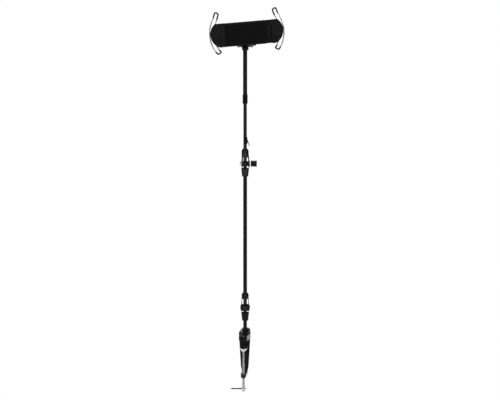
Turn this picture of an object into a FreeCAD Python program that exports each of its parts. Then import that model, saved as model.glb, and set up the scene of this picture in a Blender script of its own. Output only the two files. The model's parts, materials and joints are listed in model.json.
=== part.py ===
import FreeCAD
import Part
import math
import os

# Tablet arm holder: a desk clamp, a swivelling post, two elbows, a tube that slides in another,
# a tilt head and a sprung cradle with wire claws.
#
# Millimetres, +Z up, -Y towards the person who looks at the tablet, +X to that person's right.
# Every piece is drawn about the arm's own axis, x = 0 and y = 0, with z = 0 at the clamp's upper pad.
# At the end all pieces move together, so that the origin is the middle of that pad's face,
# on the axis of the clamp's screw.

Vector = FreeCAD.Vector
RIGHT = Vector(1, 0, 0)
BACK = Vector(0, 1, 0)
UP = Vector(0, 0, 1)

# Clearances
running_gap = 0.05          # radial play of a shaft that turns or slides in its hole
seat_gap = 0.05             # glue line round a piece that is fixed in its socket
free_gap = 0.3              # room between faces that pass each other

# Clamp casting
clamp_yaw = -7.0            # degrees, the clamp's mouth looks a little to the left of the cradle
screw_offset = 33.0         # from the post's axis forward to the screw's axis
jaw_lip = 14.0              # the upper jaw's lip, in front of the screw's axis
jaw_thickness = 12.5        # upper jaw at its lip
throat_depth = 25.0         # from the screw's axis back to the mouth's rear wall
mouth_height = 83.5         # from the pad's face down to the lower jaw
mouth_corner = 7.0          # radius in the two inner corners of the mouth
lower_jaw_thickness = 12.8
spine_depth_top = 27.0      # spine, from the mouth's rear wall to its back
spine_depth_foot = 17.0
heel_height = 29.0          # crest of the casting behind the post
heel_bulge_height = 12.0    # where the heel's curve leaves the back, above the pad
heel_bulge_inset = 0.5      # it has drawn in by this much there
heel_front = 4.0            # the heel's front shoulder, behind the mouth's rear wall
heel_front_drop = 8.5       # and below the crest
back_straight_top = -10.0   # the straight back ends here, below the pad
back_straight_foot = 18.0   # and here, above the casting's underside
back_heel_inset = 3.0       # middle of the round lower corner of the back, in from the back
back_heel_rise = 5.0        # and above the underside
jaw_root_length = 7.0       # the upper jaw's root, in front of the mouth's rear wall
jaw_root_rise = 2.2         # is thicker than its lip by this much
jaw_neck_length = 18.0      # further out the top runs almost level
jaw_neck_rise = 0.6
lip_round = 2.0             # rounding of the lip's upper edge
casting_half_width = 15.2   # at the upper jaw
casting_foot_half_width = 6.6
flank_half_width = 14.3     # of the spine at the mouth's rear wall, level with the pad
flank_back_taper = 0.24     # the flanks close by this much for each millimetre towards the back
flank_foot_taper = 0.062    # and for each millimetre down
lip_half_width = 10.4
web_half_thickness = 3.4    # the spine is cored out on both sides and leaves this web
rim_width = 4.5             # solid rim round the cored pocket

# Clamp pad, screw, dish and cross bar
pad_thickness = 2.0
pad_width = 16.0
pad_length = 25.0
pad_corner = 3.0
screw_diameter = 6.0
screw_boss_diameter = 14.4
mouth_opening = 17.0        # from the pad's face to the rubber disc, as the clamp is shown
disc_thickness = 2.0
disc_diameter = 17.0
dish_diameter = 19.0
dish_height = 7.0
dish_hub_diameter = 9.6
dish_rim = 1.6
screw_pin_diameter = 4.4
screw_pin_length = 5.0
screw_length = 91.0         # threaded length under the dish
screw_head_length = 13.0
screw_head_diameter = 8.2
bar_diameter = 3.0
bar_free_length = 34.6      # between the two end stops
bar_stop_diameter = 4.8
bar_stop_length = 2.6
bar_stop_overlap = 1.2

# Post
post_diameter = 9.6
post_chamfer = 1.0          # at the post's lower end
post_insertion = 25.0       # how deep the post stands in the clamp, from the bush's flange
bush_wall = 1.4
bush_flange_width = 1.1
bush_flange_thickness = 1.2
bush_seat_height = 11.2     # spot face on the casting that the flange lies on
bore_floor_gap = 0.1

# Elbows, measured from their pivots
lower_pivot_height = 82.0
pivot_distance = 374.0      # between the two elbow pivots
elbow_cut_width = 60.0      # wider than any elbow, for the blocks that trim it
fold_limit = 110.0          # degrees, each way
fork_reach = 39.0           # from the pivot to the fork's domed top
slot_gap = 0.4              # from the tongue's eye to the root of the slot
lower_slit_reach = 23.0     # from the pivot to the root of the relief slits beside the legs
middle_slit_reach = 16.0
fork_half_depth = 9.4
leg_end_radius = 9.6        # round end of the fork's legs
leg_taper_start = 4.0       # above the pivot, where the legs stop widening
fork_shoulder_drop = 10.0   # from the domed top down to the shoulders
fork_shoulder_radius = 9.0
fork_collar_wall = 1.1      # metal round the tube at the fork's top
tongue_eye_radius = 8.6
tongue_half_thickness = 4.6
tongue_half_depth = 9.1     # across the shoulders, front to back
tongue_half_width = 10.3
skirt_half_width = 8.0      # at the skirt's square end
skirt_reach = 33.5          # from the pivot down to the square end of the skirt
socket_depth = 18.0         # of a tube in a fork or skirt
boss_radius = 7.0
pivot_bolt_diameter = 6.0
lower_washer_radius = 9.2
middle_washer_radius = 6.3
bolt_head_radius = 4.9
bolt_head_height = 2.2
side_cap_thickness = 1.5
middle_cap_thickness = 3.8  # domed, over the middle bolt's head
middle_cap_radius = 5.4
lower_elbow_sides = (8.0, 11.0, 8.0, 11.0)      # left inner, left outer, right inner, right outer
middle_elbow_sides = (5.8, 9.9, 7.8, 12.4)

# Knob on the middle elbow
knob_washer_thickness = 1.1
knob_washer_radius = 5.6
knob_neck_length = 1.5
knob_neck_radius = 4.0
knob_length = 15.4
knob_radius = 8.3
knob_waist_radius = 7.7
knob_rim = 2.6
knob_flutes = 12
knob_flute_radius = 1.5
knob_flute_depth = 0.6
knob_bore_depth = 11.5

# Tubes
lower_tube_diameter = 10.0
lower_tube_wall = 0.8
inner_tube_diameter = 9.0
inner_tube_wall = 0.6
outer_tube_diameter = 10.8
outer_tube_wall = 0.6
outer_tube_length = 137.5
extend_travel = 30.0        # the outer tube can still rise by this much
retract_travel = 60.0       # and sink by this much
plug_length = 10.0          # guide plug on the inner tube's top
plug_headroom = 0.5         # left above the plug when the outer tube is all the way down
plug_spigot_length = 12.0
collar_rise = 117.0         # from the middle fork's top up to the twist collar
collar_length = 25.0
collar_diameter = 13.2
collar_lip = 2.0
collar_flutes = 16
collar_flute_radius = 0.8
collet_length = 6.0
collet_slit = 1.0

# Cable clip on the inner tube
clip_rise = 12.0            # from the middle fork's top up to the clip
clip_length = 18.0
clip_wall = 1.5
clip_mouth_angle = 130.0    # degrees, open towards the left
finger_drop = 11.0
finger_gap = 4.6
finger_thickness = 1.2
finger_width = 4.0

# Tilt head
barrel_radius = 10.0
barrel_gap = 1.0            # between the outer tube's end and the barrel's underside
barrel_half_length = 12.0
head_socket_radius = 8.4
head_socket_length = 8.0
head_neck_radius = 6.6
head_socket_taper = 4.5     # the socket widens from its neck over this height
set_screw_diameter = 4.0
set_screw_stand_out = 1.0
tilt_washer_thickness = 0.8
tilt_washer_radius = 8.0
bracket_half_width = 21.0
bracket_corner = 3.0
bracket_plate_thickness = 7.0
tilt_bolt_head_radius = 5.2
tilt_bolt_head_height = 3.2
tilt_nut_length = 7.3
tilt_nut_radius = 5.9
tilt_nut_flutes = 10

# Cradle, drawn level and then rolled about the swivel's axis
cradle_roll = 4.8           # degrees, right end up
swivel_rise = 18.2          # swivel's axis above the tilt axis
cradle_face = 50.0          # front of the cradle, in front of the arm's axis
cradle_depth = 15.0
cradle_half_height = 29.5
housing_half_length = 52.0
front_bevel_width = 5.0
front_bevel_depth = 3.5
rear_bevel = 2.0
shell_wall = 2.0
swivel_washer_thickness = 1.0
swivel_washer_radius = 15.0
swivel_head_radius = 5.5
swivel_head_height = 3.0
swivel_nut_thickness = 3.6
fixed_jaw_length = 36.6     # from its inner edge to its rounded end
sliding_jaw_length = 29.7
slide_gap = 16.5            # stretch of slide that shows between the housing and the sliding jaw
end_bulge_height = 4.0
upper_corner_setback = 14.0
lower_corner_setback = 22.0
jaw_back_thickness = 3.0
jaw_edge_bevel = 2.0
slide_thickness = 4.0
slide_depth_from_face = 4.6
slide_inner_end = -1.0
brace_recess = 2.4
brace_width = 4.6
brace_frame = 3.0
tenon_half_height = 10.0
tenon_length = 3.8
grip_ridges = 5
grip_corner_rise = 10.5     # first ridge above the jaw's lower edge
grip_length_step = 1.4      # each ridge is shorter than the last by this much
grip_ridge_pitch = 2.5
grip_ridge_length = 13.0
grip_ridge_radius = 0.8
grip_inset_left = 19.0      # from a jaw's rounded end in to its ridges
grip_inset_right = 16.5
grip_angle = 49.0           # degrees, ridges run along the lower corner's slope

# Claws
claw_wire_diameter = 3.0
claw_radius = 81.0          # outer wire of the C, its centre line
claw_spacing = 10.0         # between the outer and the inner wire
claw_stand_off = 1.8        # outer wire's centre line beyond the jaw's rounded end
claw_centre_height = 2.6
claw_hook_angle = 29.0      # degrees up and down from level, where the hooks start
claw_bend_radius = 6.0
claw_lean = 62.0            # degrees, how steeply the hooks rise towards the tablet's front
claw_straight = 19.0
claw_root_angle = 6.0       # degrees, where the wire's ends stop inside the jaw
sleeve_wall = 0.45

# Cradle springs and screws
spring_radius = 3.0
spring_bore = 2.0
spring_height = 9.0
spring_anchor = 45.0
spring_post_radius = 1.5
cover_screw_radius = 1.5
cover_screw_head_radius = 2.8
cover_screw_head_height = 1.2
cover_screw_length = 9.0
cover_screw_left = -43.0
cover_screw_right = -8.0      # the slide's inner end stops before it
cover_screw_up = 23.6
cover_boss_radius = 3.2
jaw_screw_radius = 1.3
jaw_screw_head_radius = 2.4
jaw_screw_head_height = 1.0
jaw_screw_length = 8.0
jaw_screw_up = 15.0

# Places that follow from the sizes above
middle_pivot_height = lower_pivot_height + pivot_distance
middle_fork_top = middle_pivot_height + fork_reach
clip_foot = middle_fork_top + clip_rise
collar_foot = middle_fork_top + collar_rise
outer_tube_foot = collar_foot + collar_lip + collet_length
outer_tube_top = outer_tube_foot + outer_tube_length
inner_tube_top = outer_tube_top - retract_travel - plug_length - plug_headroom
tilt_height = outer_tube_top + barrel_gap + barrel_radius
swivel_height = tilt_height + swivel_rise
disc_face = -mouth_opening
dish_top = disc_face - disc_thickness
dish_foot = dish_top - dish_height
screw_head_top = dish_foot - screw_length
bar_height = screw_head_top - 0.4 * screw_head_length
left_end = housing_half_length + fixed_jaw_length
sliding_edge = housing_half_length + slide_gap
right_end = sliding_edge + sliding_jaw_length
housing_back = cradle_face - cradle_depth
slide_front = cradle_face - slide_depth_from_face
slide_back = slide_front - slide_thickness
slide_half_height = cradle_half_height - shell_wall - free_gap
split_depth = slide_back - free_gap
cover_depth = cradle_face - split_depth
claw_depth = housing_back + jaw_back_thickness
plate_front = housing_back - swivel_washer_thickness
plate_rise = 20.0           # top edge of the bracket's plate, above the swivel's axis
plate_back = plate_front - bracket_plate_thickness


def turned_about(axis_angle, x, y):
    """Turn a point of the clamp about the post's axis."""
    angle = math.radians(axis_angle)
    return Vector(x * math.cos(angle) - y * math.sin(angle), x * math.sin(angle) + y * math.cos(angle), 0)


screw_axis = turned_about(clamp_yaw, 0, -screw_offset)


# Shared shapes

def block(x_range, y_range, z_range):
    """Box between two limits on each axis."""
    size = [high - low for low, high in (x_range, y_range, z_range)]
    return Part.makeBox(*size, Vector(x_range[0], y_range[0], z_range[0]))


def rod(radius, start, axis, length):
    return Part.makeCylinder(radius, length, start, axis)


def ring(outer, inner, start, axis, length):
    return rod(outer, start, axis, length).cut(rod(inner, start, axis, length))


def turned(profile, start, axis):
    """Solid of revolution from (radius, distance along the axis) corners."""
    corners = [Vector(radius, 0, distance) for radius, distance in profile]
    face = Part.Face(Part.makePolygon(corners + corners[:1]))
    solid = face.revolve(Vector(0, 0, 0), UP, 360)
    solid.Placement = FreeCAD.Placement(start, FreeCAD.Rotation(UP, axis))
    return solid


def rounded_rectangle(x_range, y_range, corner, z):
    """Closed wire of four lines and four quarter arcs, level at height z."""
    left, right = x_range
    front, back = y_range
    offset = corner * (1 - math.sqrt(0.5))
    corners = [
        ((right - corner, front), (right - offset, front + offset), (right, front + corner)),
        ((right, back - corner), (right - offset, back - offset), (right - corner, back)),
        ((left + corner, back), (left + offset, back - offset), (left, back - corner)),
        ((left, front + corner), (left + offset, front + offset), (left + corner, front)),
    ]
    edges = []
    for index, arc in enumerate(corners):
        points = [Vector(x, y, z) for x, y in arc]
        edges.append(Part.Arc(*points).toShape())
        next_start = Vector(*corners[(index + 1) % 4][0], z)
        edges.append(Part.LineSegment(points[2], next_start).toShape())
    return Part.Wire(edges)


def prism(wire, direction):
    return Part.Face(wire).extrude(direction)


def line(start, end):
    return Part.LineSegment(start, end).toShape()


def arc(start, middle, end):
    return Part.Arc(start, middle, end).toShape()


def smooth(points):
    """Smooth curve through a few points."""
    curve = Part.BSplineCurve()
    curve.interpolate(points)
    return curve.toShape()


def bent_rod(edges, radius):
    """Round rod along lines and tangent arcs: a cylinder for each line, a piece of a torus for each arc."""
    pieces = []
    for edge in edges:
        start = edge.valueAt(edge.FirstParameter)
        tangent = edge.tangentAt(edge.FirstParameter)
        disc = Part.Face(Part.Wire(Part.makeCircle(radius, start, tangent)))
        curve = edge.Curve
        if curve.TypeId == "Part::GeomLine":
            pieces.append(disc.extrude(tangent * edge.Length))
        else:
            pieces.append(disc.revolve(curve.Center, curve.Axis, math.degrees(edge.Length / curve.Radius)))
    return pieces[0].fuse(pieces[1:])


def spun(edges):
    """Solid of revolution about the arm's axis from a closed outline in the XZ plane."""
    return Part.Face(Part.Wire(edges)).revolve(Vector(0, 0, 0), UP, 360)


def fluted(body, count, flute_radius, ring_radius, start, axis, length):
    """Cut evenly spaced round grooves along a turned grip."""
    side = BACK if axis.isEqual(RIGHT, 0.001) else RIGHT
    cutters = []
    for index in range(count):
        spoke = FreeCAD.Rotation(axis, 360.0 * index / count).multVec(side)
        cutters.append(rod(flute_radius, start + spoke * ring_radius, axis, length))
    return body.cut(Part.makeCompound(cutters))


# Clamp, drawn with its mouth towards -Y and then turned by clamp_yaw

def yawed(shape):
    shape.rotate(Vector(0, 0, 0), UP, clamp_yaw)
    return shape


def clamp_side_outline():
    """The casting seen from the side: an upper jaw with a raised heel, a spine and a lower jaw."""
    lip = -screw_offset - jaw_lip
    rear_wall = -screw_offset + throat_depth
    nose = -screw_offset - screw_boss_diameter / 2
    top = pad_thickness
    jaw_top = top + jaw_thickness
    floor = -mouth_height
    base = floor - lower_jaw_thickness
    nose_radius = lower_jaw_thickness / 2
    back_top = rear_wall + spine_depth_top
    back_foot = rear_wall + spine_depth_foot
    diagonal = mouth_corner * (1 - math.sqrt(0.5))

    def at(y, z):
        return Vector(0, y, z)

    return Part.Wire([
        line(at(lip, top), at(rear_wall - mouth_corner, top)),
        arc(at(rear_wall - mouth_corner, top), at(rear_wall - diagonal, top - diagonal),
            at(rear_wall, top - mouth_corner)),
        line(at(rear_wall, top - mouth_corner), at(rear_wall, floor + mouth_corner)),
        arc(at(rear_wall, floor + mouth_corner), at(rear_wall - diagonal, floor + diagonal),
            at(rear_wall - mouth_corner, floor)),
        line(at(rear_wall - mouth_corner, floor), at(nose + nose_radius, floor)),
        arc(at(nose + nose_radius, floor), at(nose, floor - nose_radius), at(nose + nose_radius, base)),
        line(at(nose + nose_radius, base), at(rear_wall, base)),
        arc(at(rear_wall, base), at(back_foot - back_heel_inset, base + back_heel_rise),
            at(back_foot, base + back_straight_foot)),
        line(at(back_foot, base + back_straight_foot), at(back_top, back_straight_top)),
        smooth([at(back_top, back_straight_top), at(back_top - heel_bulge_inset, heel_bulge_height),
                at(rear_wall + 0.64 * spine_depth_top, heel_height),
                at(rear_wall + heel_front, heel_height - heel_front_drop),
                at(rear_wall - jaw_root_length, jaw_top + jaw_root_rise),
                at(rear_wall - jaw_neck_length, jaw_top + jaw_neck_rise), at(lip + lip_round, jaw_top)]),
        arc(at(lip + lip_round, jaw_top), at(lip + 0.3 * lip_round, jaw_top - 0.3 * lip_round),
            at(lip, jaw_top - lip_round)),
        line(at(lip, jaw_top - lip_round), at(lip, top)),
    ])


def clamp_front_outline():
    """The casting seen from its mouth: an arched top that tapers to a narrow foot."""
    base = -mouth_height - lower_jaw_thickness
    crest = heel_height + 0.5
    half = casting_half_width
    foot = casting_foot_half_width
    right = [Vector(0, 0, crest), Vector(0.6 * half, 0, crest - 2.2), Vector(half - 0.6, 0, crest - 10),
             Vector(half, 0, 5), Vector(0.86 * half, 0, -0.36 * mouth_height),
             Vector(0.68 * half, 0, -0.82 * mouth_height), Vector(foot + 0.6, 0, -mouth_height),
             Vector(foot - 0.6, 0, base + 4), Vector(0, 0, base - 0.5)]
    left = [Vector(-point.x, 0, point.z) for point in reversed(right)]
    return Part.Wire([smooth(right), smooth(left)])


def clamp_plan_outline():
    """The casting seen from above: a lip narrower than the spine, and a rounded back."""
    lip = -screw_offset - jaw_lip
    back = -screw_offset + throat_depth + spine_depth_top
    half = casting_half_width + 0.5
    return Part.Wire([
        arc(Vector(-lip_half_width, lip + 3, 0), Vector(0, lip, 0), Vector(lip_half_width, lip + 3, 0)),
        line(Vector(lip_half_width, lip + 3, 0), Vector(half, -6, 0)),
        line(Vector(half, -6, 0), Vector(half, back - 9, 0)),
        arc(Vector(half, back - 9, 0), Vector(0, back, 0), Vector(-half, back - 9, 0)),
        line(Vector(-half, back - 9, 0), Vector(-half, -6, 0)),
        line(Vector(-half, -6, 0), Vector(-lip_half_width, lip + 3, 0)),
    ])


def flank_wedge():
    """Block that gives the casting its flanks, which close towards the back and the foot."""
    rear_wall = -screw_offset + throat_depth
    front = -2 * screw_offset
    back = rear_wall + spine_depth_top + 1
    rings = []
    for height in (-mouth_height - lower_jaw_thickness - 1, 2 * heel_height):
        rings.append([])
        for side, depth in ((-1, front), (1, front), (1, back), (-1, back)):
            half = flank_half_width - flank_back_taper * (depth - rear_wall) + flank_foot_taper * height
            rings[-1].append(Vector(side * half, depth, height))
    foot, head = rings
    walls = [[foot[turn - 1], foot[turn], head[turn], head[turn - 1]] for turn in range(4)]
    faces = [Part.Face(Part.makePolygon(corners + corners[:1])) for corners in [foot[::-1], head] + walls]
    return Part.Solid(Part.Shell(faces))


def spine_pocket(side):
    """Pocket that lightens one flank of the spine and leaves a web."""
    rear_wall = -screw_offset + throat_depth
    front = rear_wall + rim_width
    top = -rim_width - 4
    foot = -mouth_height + rim_width
    back_top = rear_wall + spine_depth_top - rim_width
    back_foot = rear_wall + spine_depth_foot - rim_width + 1.5
    corners = [Vector(0, front, top), Vector(0, back_top, top), Vector(0, back_foot, foot),
               Vector(0, front, foot)]
    wall = Part.Face(Part.makePolygon(corners + corners[:1]))
    pocket = wall.extrude(Vector(2 * casting_half_width, 0, 0))
    pocket = pocket.makeFillet(3.0, [edge for edge in pocket.Edges if abs(edge.tangentAt(0).x) > 0.9])
    pocket.translate(Vector(web_half_thickness, 0, 0))
    if side < 0:
        pocket = pocket.mirror(Vector(0, 0, 0), RIGHT)
    return pocket


def clamp_body():
    wide = 4 * casting_half_width
    side = prism(clamp_side_outline(), Vector(wide, 0, 0))
    side.translate(Vector(-wide / 2, 0, 0))
    front = prism(clamp_front_outline(), Vector(0, 2 * wide, 0))
    front.translate(Vector(0, -wide, 0))
    plan = prism(clamp_plan_outline(), Vector(0, 0, 4 * wide))
    plan.translate(Vector(0, 0, -3 * wide))
    casting = side.common(flank_wedge()).common(front).common(plan)
    floor = -mouth_height
    boss = rod(screw_boss_diameter / 2, Vector(0, -screw_offset, floor), -UP, lower_jaw_thickness)
    nose_corners = block((-wide, wide), (-2 * screw_offset, -screw_offset),
                         (floor - lower_jaw_thickness, floor))
    casting = casting.cut(nose_corners.cut(boss)).cut(spine_pocket(1)).cut(spine_pocket(-1))
    bush_radius = post_diameter / 2 + running_gap + bush_wall
    flange_radius = bush_radius + bush_flange_width + free_gap
    post_hole = rod(bush_radius + seat_gap, Vector(0, 0, bush_seat_height), -UP,
                    post_insertion + bore_floor_gap)
    spot_face = rod(flange_radius, Vector(0, 0, bush_seat_height), UP, 2 * heel_height)
    screw_hole = rod(screw_diameter / 2 + running_gap, Vector(0, -screw_offset, floor + 1), -UP,
                     lower_jaw_thickness + 2)
    return yawed(casting.cut(post_hole).cut(spot_face).cut(screw_hole))


def upper_jaw_pad():
    outline = rounded_rectangle((-pad_width / 2, pad_width / 2),
                                (-screw_offset - pad_length / 2, -screw_offset + pad_length / 2),
                                pad_corner, 0)
    return yawed(prism(outline, UP * pad_thickness))


def socket_bush():
    """Flanged sleeve that the post turns in."""
    inner = post_diameter / 2 + running_gap
    outer = inner + bush_wall
    flange = outer + bush_flange_width
    top = bush_flange_thickness
    return turned([(inner, top), (flange - 0.3, top), (flange, top - 0.3), (flange, 0), (outer, 0),
                   (outer, -post_insertion), (inner, -post_insertion)], Vector(0, 0, bush_seat_height), UP)


# Screw, dish and cross bar, on the screw's own axis

def pressure_dish():
    """Bright saucer on the screw's top that presses from under the desk."""
    rim = dish_diameter / 2
    hub = dish_hub_diameter / 2
    socket = screw_pin_diameter / 2 + running_gap
    return turned([(0, dish_height), (rim, dish_height), (rim, dish_height - dish_rim),
                   (rim - 1.6, dish_height - 3.0), (hub + 0.8, 1.6), (hub, 0), (socket, 0),
                   (socket, screw_pin_length), (0, screw_pin_length)],
                  screw_axis + UP * dish_foot, UP)


def dish_disc():
    radius = disc_diameter / 2
    return turned([(0, 0), (radius, 0), (radius, disc_thickness - 0.5), (radius - 0.5, disc_thickness),
                   (0, disc_thickness)], screw_axis + UP * dish_top, UP)


def clamp_screw():
    """Screw with a pin for the dish at its top and a bored head at its foot."""
    radius = screw_diameter / 2
    pin = screw_pin_diameter / 2
    head = screw_head_diameter / 2
    foot = screw_length + screw_head_length
    body = turned([(0, -screw_pin_length + running_gap), (pin, -screw_pin_length + running_gap), (pin, 0),
                   (radius, 0), (radius, screw_length), (head - 0.8, screw_length),
                   (head, screw_length + 0.8),
                   (head, foot - 1.2), (head - 1.2, foot), (0, foot)], screw_axis + UP * dish_foot, -UP)
    hole = rod(bar_diameter / 2 + running_gap, screw_axis + Vector(-head - 1, 0, bar_height), RIGHT,
               2 * head + 2)
    return body.cut(hole)


def cross_bar_left():
    """x of the left stop's inner face: the bar is pushed through until its right stop meets the head."""
    return screw_axis.x + screw_head_diameter / 2 + free_gap - bar_free_length


def cross_bar():
    start = Vector(cross_bar_left() - bar_stop_overlap, screw_axis.y, bar_height)
    return rod(bar_diameter / 2, start, RIGHT, bar_free_length + 2 * bar_stop_overlap)


def cross_bar_stops():
    """Two pressed caps that keep the bar in the screw's head."""
    outer = bar_stop_diameter / 2
    bore = bar_diameter / 2 + seat_gap
    profile = [(bore, 0), (outer - 0.3, 0), (outer, 0.3), (outer, bar_stop_length - 0.7),
               (outer - 0.7, bar_stop_length), (0, bar_stop_length), (0, bar_stop_overlap),
               (bore, bar_stop_overlap)]
    left = Vector(cross_bar_left(), screw_axis.y, bar_height)
    right = left + RIGHT * bar_free_length
    return Part.makeCompound([turned(profile, left, -RIGHT), turned(profile, right, RIGHT)])


# Post

def swivel_post():
    radius = post_diameter / 2
    foot = bush_seat_height - post_insertion
    top = lower_pivot_height - skirt_reach + socket_depth
    return turned([(0, foot), (radius - post_chamfer, foot), (radius, foot + post_chamfer),
                   (radius, top), (0, top)], Vector(0, 0, 0), UP)


# Elbows: a fork on the upper piece, a tongue on the lower one, folding about an axis along X

def bell_outline(foot, collar, left, right):
    """Fork seen from one side: a collar for the tube, round shoulders, and legs that widen downwards."""
    top = fork_reach
    shoulder = fork_reach - fork_shoulder_drop
    radius = fork_shoulder_radius
    arch = collar + 0.72 * (radius - collar)
    middle = (shoulder + leg_taper_start) / 2

    def at(x, z):
        return Vector(x, 0, z)

    def leg(side, width):
        return smooth([at(side * radius, shoulder), at(side * (radius + 0.42 * (width - radius)), middle),
                       at(side * width, leg_taper_start)])

    return [
        line(at(-collar, top), at(collar, top)),
        arc(at(collar, top), at(arch, top - 0.32 * fork_shoulder_drop), at(radius, shoulder)),
        leg(1, right),
        line(at(right, leg_taper_start), at(right, foot)),
        line(at(right, foot), at(-left, foot)),
        line(at(-left, foot), at(-left, leg_taper_start)),
        leg(-1, left),
        arc(at(-radius, shoulder), at(-arch, top - 0.32 * fork_shoulder_drop), at(-collar, top)),
    ]


def fork(pivot_height, sides, tube_diameter, slit_reach):
    """Domed fork whose two legs hold the tongue, bored on top for a tube and slit beside the legs."""
    left_inner, left_outer, right_inner, right_outer = sides
    tube_radius = tube_diameter / 2
    collar = tube_radius + fork_collar_wall
    foot = -leg_end_radius - 1
    wide = elbow_cut_width
    face_on = prism(Part.Wire(bell_outline(foot, collar, left_outer - 0.4, right_outer - 0.4)), BACK * wide)
    face_on.translate(BACK * (-wide / 2))
    edge_on = prism(Part.Wire(bell_outline(foot, collar, fork_half_depth, fork_half_depth)), BACK * wide)
    edge_on.translate(BACK * (-wide / 2))
    edge_on.rotate(Vector(0, 0, 0), UP, 90)
    round_radius = max(left_outer, right_outer) + 0.8
    shoulder = fork_reach - fork_shoulder_drop
    blank = spun([
        line(Vector(0, 0, foot), Vector(round_radius, 0, foot)),
        line(Vector(round_radius, 0, foot), Vector(round_radius, 0, leg_taper_start)),
        line(Vector(round_radius, 0, leg_taper_start), Vector(fork_shoulder_radius + 0.5, 0, shoulder)),
        arc(Vector(fork_shoulder_radius + 0.5, 0, shoulder),
            Vector(collar + 0.74 * (fork_shoulder_radius + 0.5 - collar), 0,
                   fork_reach - 0.32 * fork_shoulder_drop),
            Vector(collar, 0, fork_reach)),
        line(Vector(collar, 0, fork_reach), Vector(0, 0, fork_reach)),
        line(Vector(0, 0, fork_reach), Vector(0, 0, foot)),
    ])
    leg_end = rod(leg_end_radius, Vector(-wide / 2, 0, 0), RIGHT, wide)
    above = block((-wide / 2, wide / 2), (-wide / 2, wide / 2), (0, fork_reach + 1))
    body = blank.common(face_on).common(edge_on).common(leg_end.fuse(above))
    left_boss = rod(boss_radius, Vector(-left_outer, 0, 0), RIGHT, left_outer - left_inner)
    right_boss = rod(boss_radius, Vector(right_inner, 0, 0), RIGHT, right_outer - right_inner)
    slot_root = tongue_eye_radius + slot_gap
    cuts = [block((-left_inner, right_inner), (-wide / 2, wide / 2), (-wide / 2, slot_root))]
    for near, far in ((-left_inner, -tongue_half_thickness), (tongue_half_thickness, right_inner)):
        root = slit_reach - (far - near) / 2
        cuts.append(block((near, far), (-wide / 2, wide / 2), (0, root)))
        cuts.append(rod((far - near) / 2, Vector((near + far) / 2, -wide / 2, root), BACK, wide))
    cuts.append(rod(tube_radius + seat_gap, Vector(0, 0, fork_reach + 1), -UP, socket_depth + 1))
    cuts.append(rod(pivot_bolt_diameter / 2 + running_gap, Vector(-wide / 2, 0, 0), RIGHT, wide))
    cuts.append(rod(bolt_head_radius + seat_gap, Vector(-left_outer, 0, 0), RIGHT, bolt_head_height))
    body = body.fuse([left_boss, right_boss])
    for cutter in cuts:
        body = body.cut(cutter)
    body = body.removeSplitter()
    body.translate(UP * pivot_height)
    return body


def tongue(pivot_height, tube_diameter):
    """Round eye on a tapered skirt. Gabled skirt and tapered neck let the fork fold past a right angle."""
    over = math.radians(fold_limit - 90)
    ridge = -(leg_end_radius + 2 * free_gap) / math.cos(over)
    wide = elbow_cut_width
    eave = ridge - wide / 2 * math.tan(over)
    foot = -skirt_reach

    def side_of(half_top, half_foot):
        corners = [Vector(-half_foot, 0, foot), Vector(half_foot, 0, foot), Vector(half_top, 0, ridge),
                   Vector(half_top, 0, 0), Vector(-half_top, 0, 0), Vector(-half_top, 0, ridge)]
        shape = Part.Face(Part.makePolygon(corners + corners[:1])).extrude(BACK * wide)
        shape.translate(BACK * (-wide / 2))
        return shape

    face_on = side_of(tongue_half_width, skirt_half_width)
    edge_on = side_of(tongue_half_depth, skirt_half_width)
    edge_on.rotate(Vector(0, 0, 0), UP, 90)
    gable = Part.makePolygon([Vector(-wide / 2, 0, ridge), Vector(-wide / 2, wide / 2, eave),
                              Vector(-wide / 2, wide / 2, 2 * foot), Vector(-wide / 2, -wide / 2, 2 * foot),
                              Vector(-wide / 2, -wide / 2, eave), Vector(-wide / 2, 0, ridge)])
    blank = turned([(0, foot), (skirt_half_width + 0.5, foot), (tongue_half_width + 1.3, ridge), (0, ridge)],
                   Vector(0, 0, 0), UP)
    skirt = blank.common(face_on).common(edge_on).common(prism(gable, RIGHT * wide))
    half = tongue_half_thickness
    eye = rod(tongue_eye_radius, Vector(-half, 0, 0), RIGHT, 2 * half)
    neck_foot = foot + socket_depth + 2
    touch_depth = tongue_eye_radius * math.cos(over)
    touch_height = -tongue_eye_radius * math.sin(over)
    foot_depth = (tongue_eye_radius + neck_foot * math.sin(over)) / math.cos(over)
    corners = [Vector(-half, touch_depth, touch_height), Vector(-half, foot_depth, neck_foot),
               Vector(-half, -foot_depth, neck_foot), Vector(-half, -touch_depth, touch_height)]
    neck = prism(Part.makePolygon(corners + corners[:1]), RIGHT * 2 * half)
    body = skirt.fuse([eye, neck])
    body = body.cut(rod(pivot_bolt_diameter / 2 + running_gap, Vector(-wide / 2, 0, 0), RIGHT, wide))
    body = body.cut(rod(tube_diameter / 2 + seat_gap, Vector(0, 0, foot - 1), UP, socket_depth + 1))
    body = body.removeSplitter()
    body.translate(UP * pivot_height)
    return body


def elbow_washers(pivot_height, sides, washer_radius):
    """One friction washer on each side of the tongue, as thick as the gap that it fills."""
    left_inner, _, right_inner, _ = sides
    bore = pivot_bolt_diameter / 2 + 2 * running_gap
    half = tongue_half_thickness
    left = ring(washer_radius, bore, Vector(-left_inner, 0, pivot_height), RIGHT, left_inner - half)
    right = ring(washer_radius, bore, Vector(half, 0, pivot_height), RIGHT, right_inner - half)
    return Part.makeCompound([left, right])


def elbow_bolt(pivot_height, sides, end):
    """Pivot bolt with a low round head let into the left leg."""
    left_outer = sides[1]
    shank = pivot_bolt_diameter / 2
    return turned([(0, 0), (bolt_head_radius - 0.4, 0), (bolt_head_radius, 0.4),
                   (bolt_head_radius, bolt_head_height), (shank, bolt_head_height),
                   (shank, left_outer + end), (0, left_outer + end)],
                  Vector(-left_outer, 0, pivot_height), RIGHT)


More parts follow.
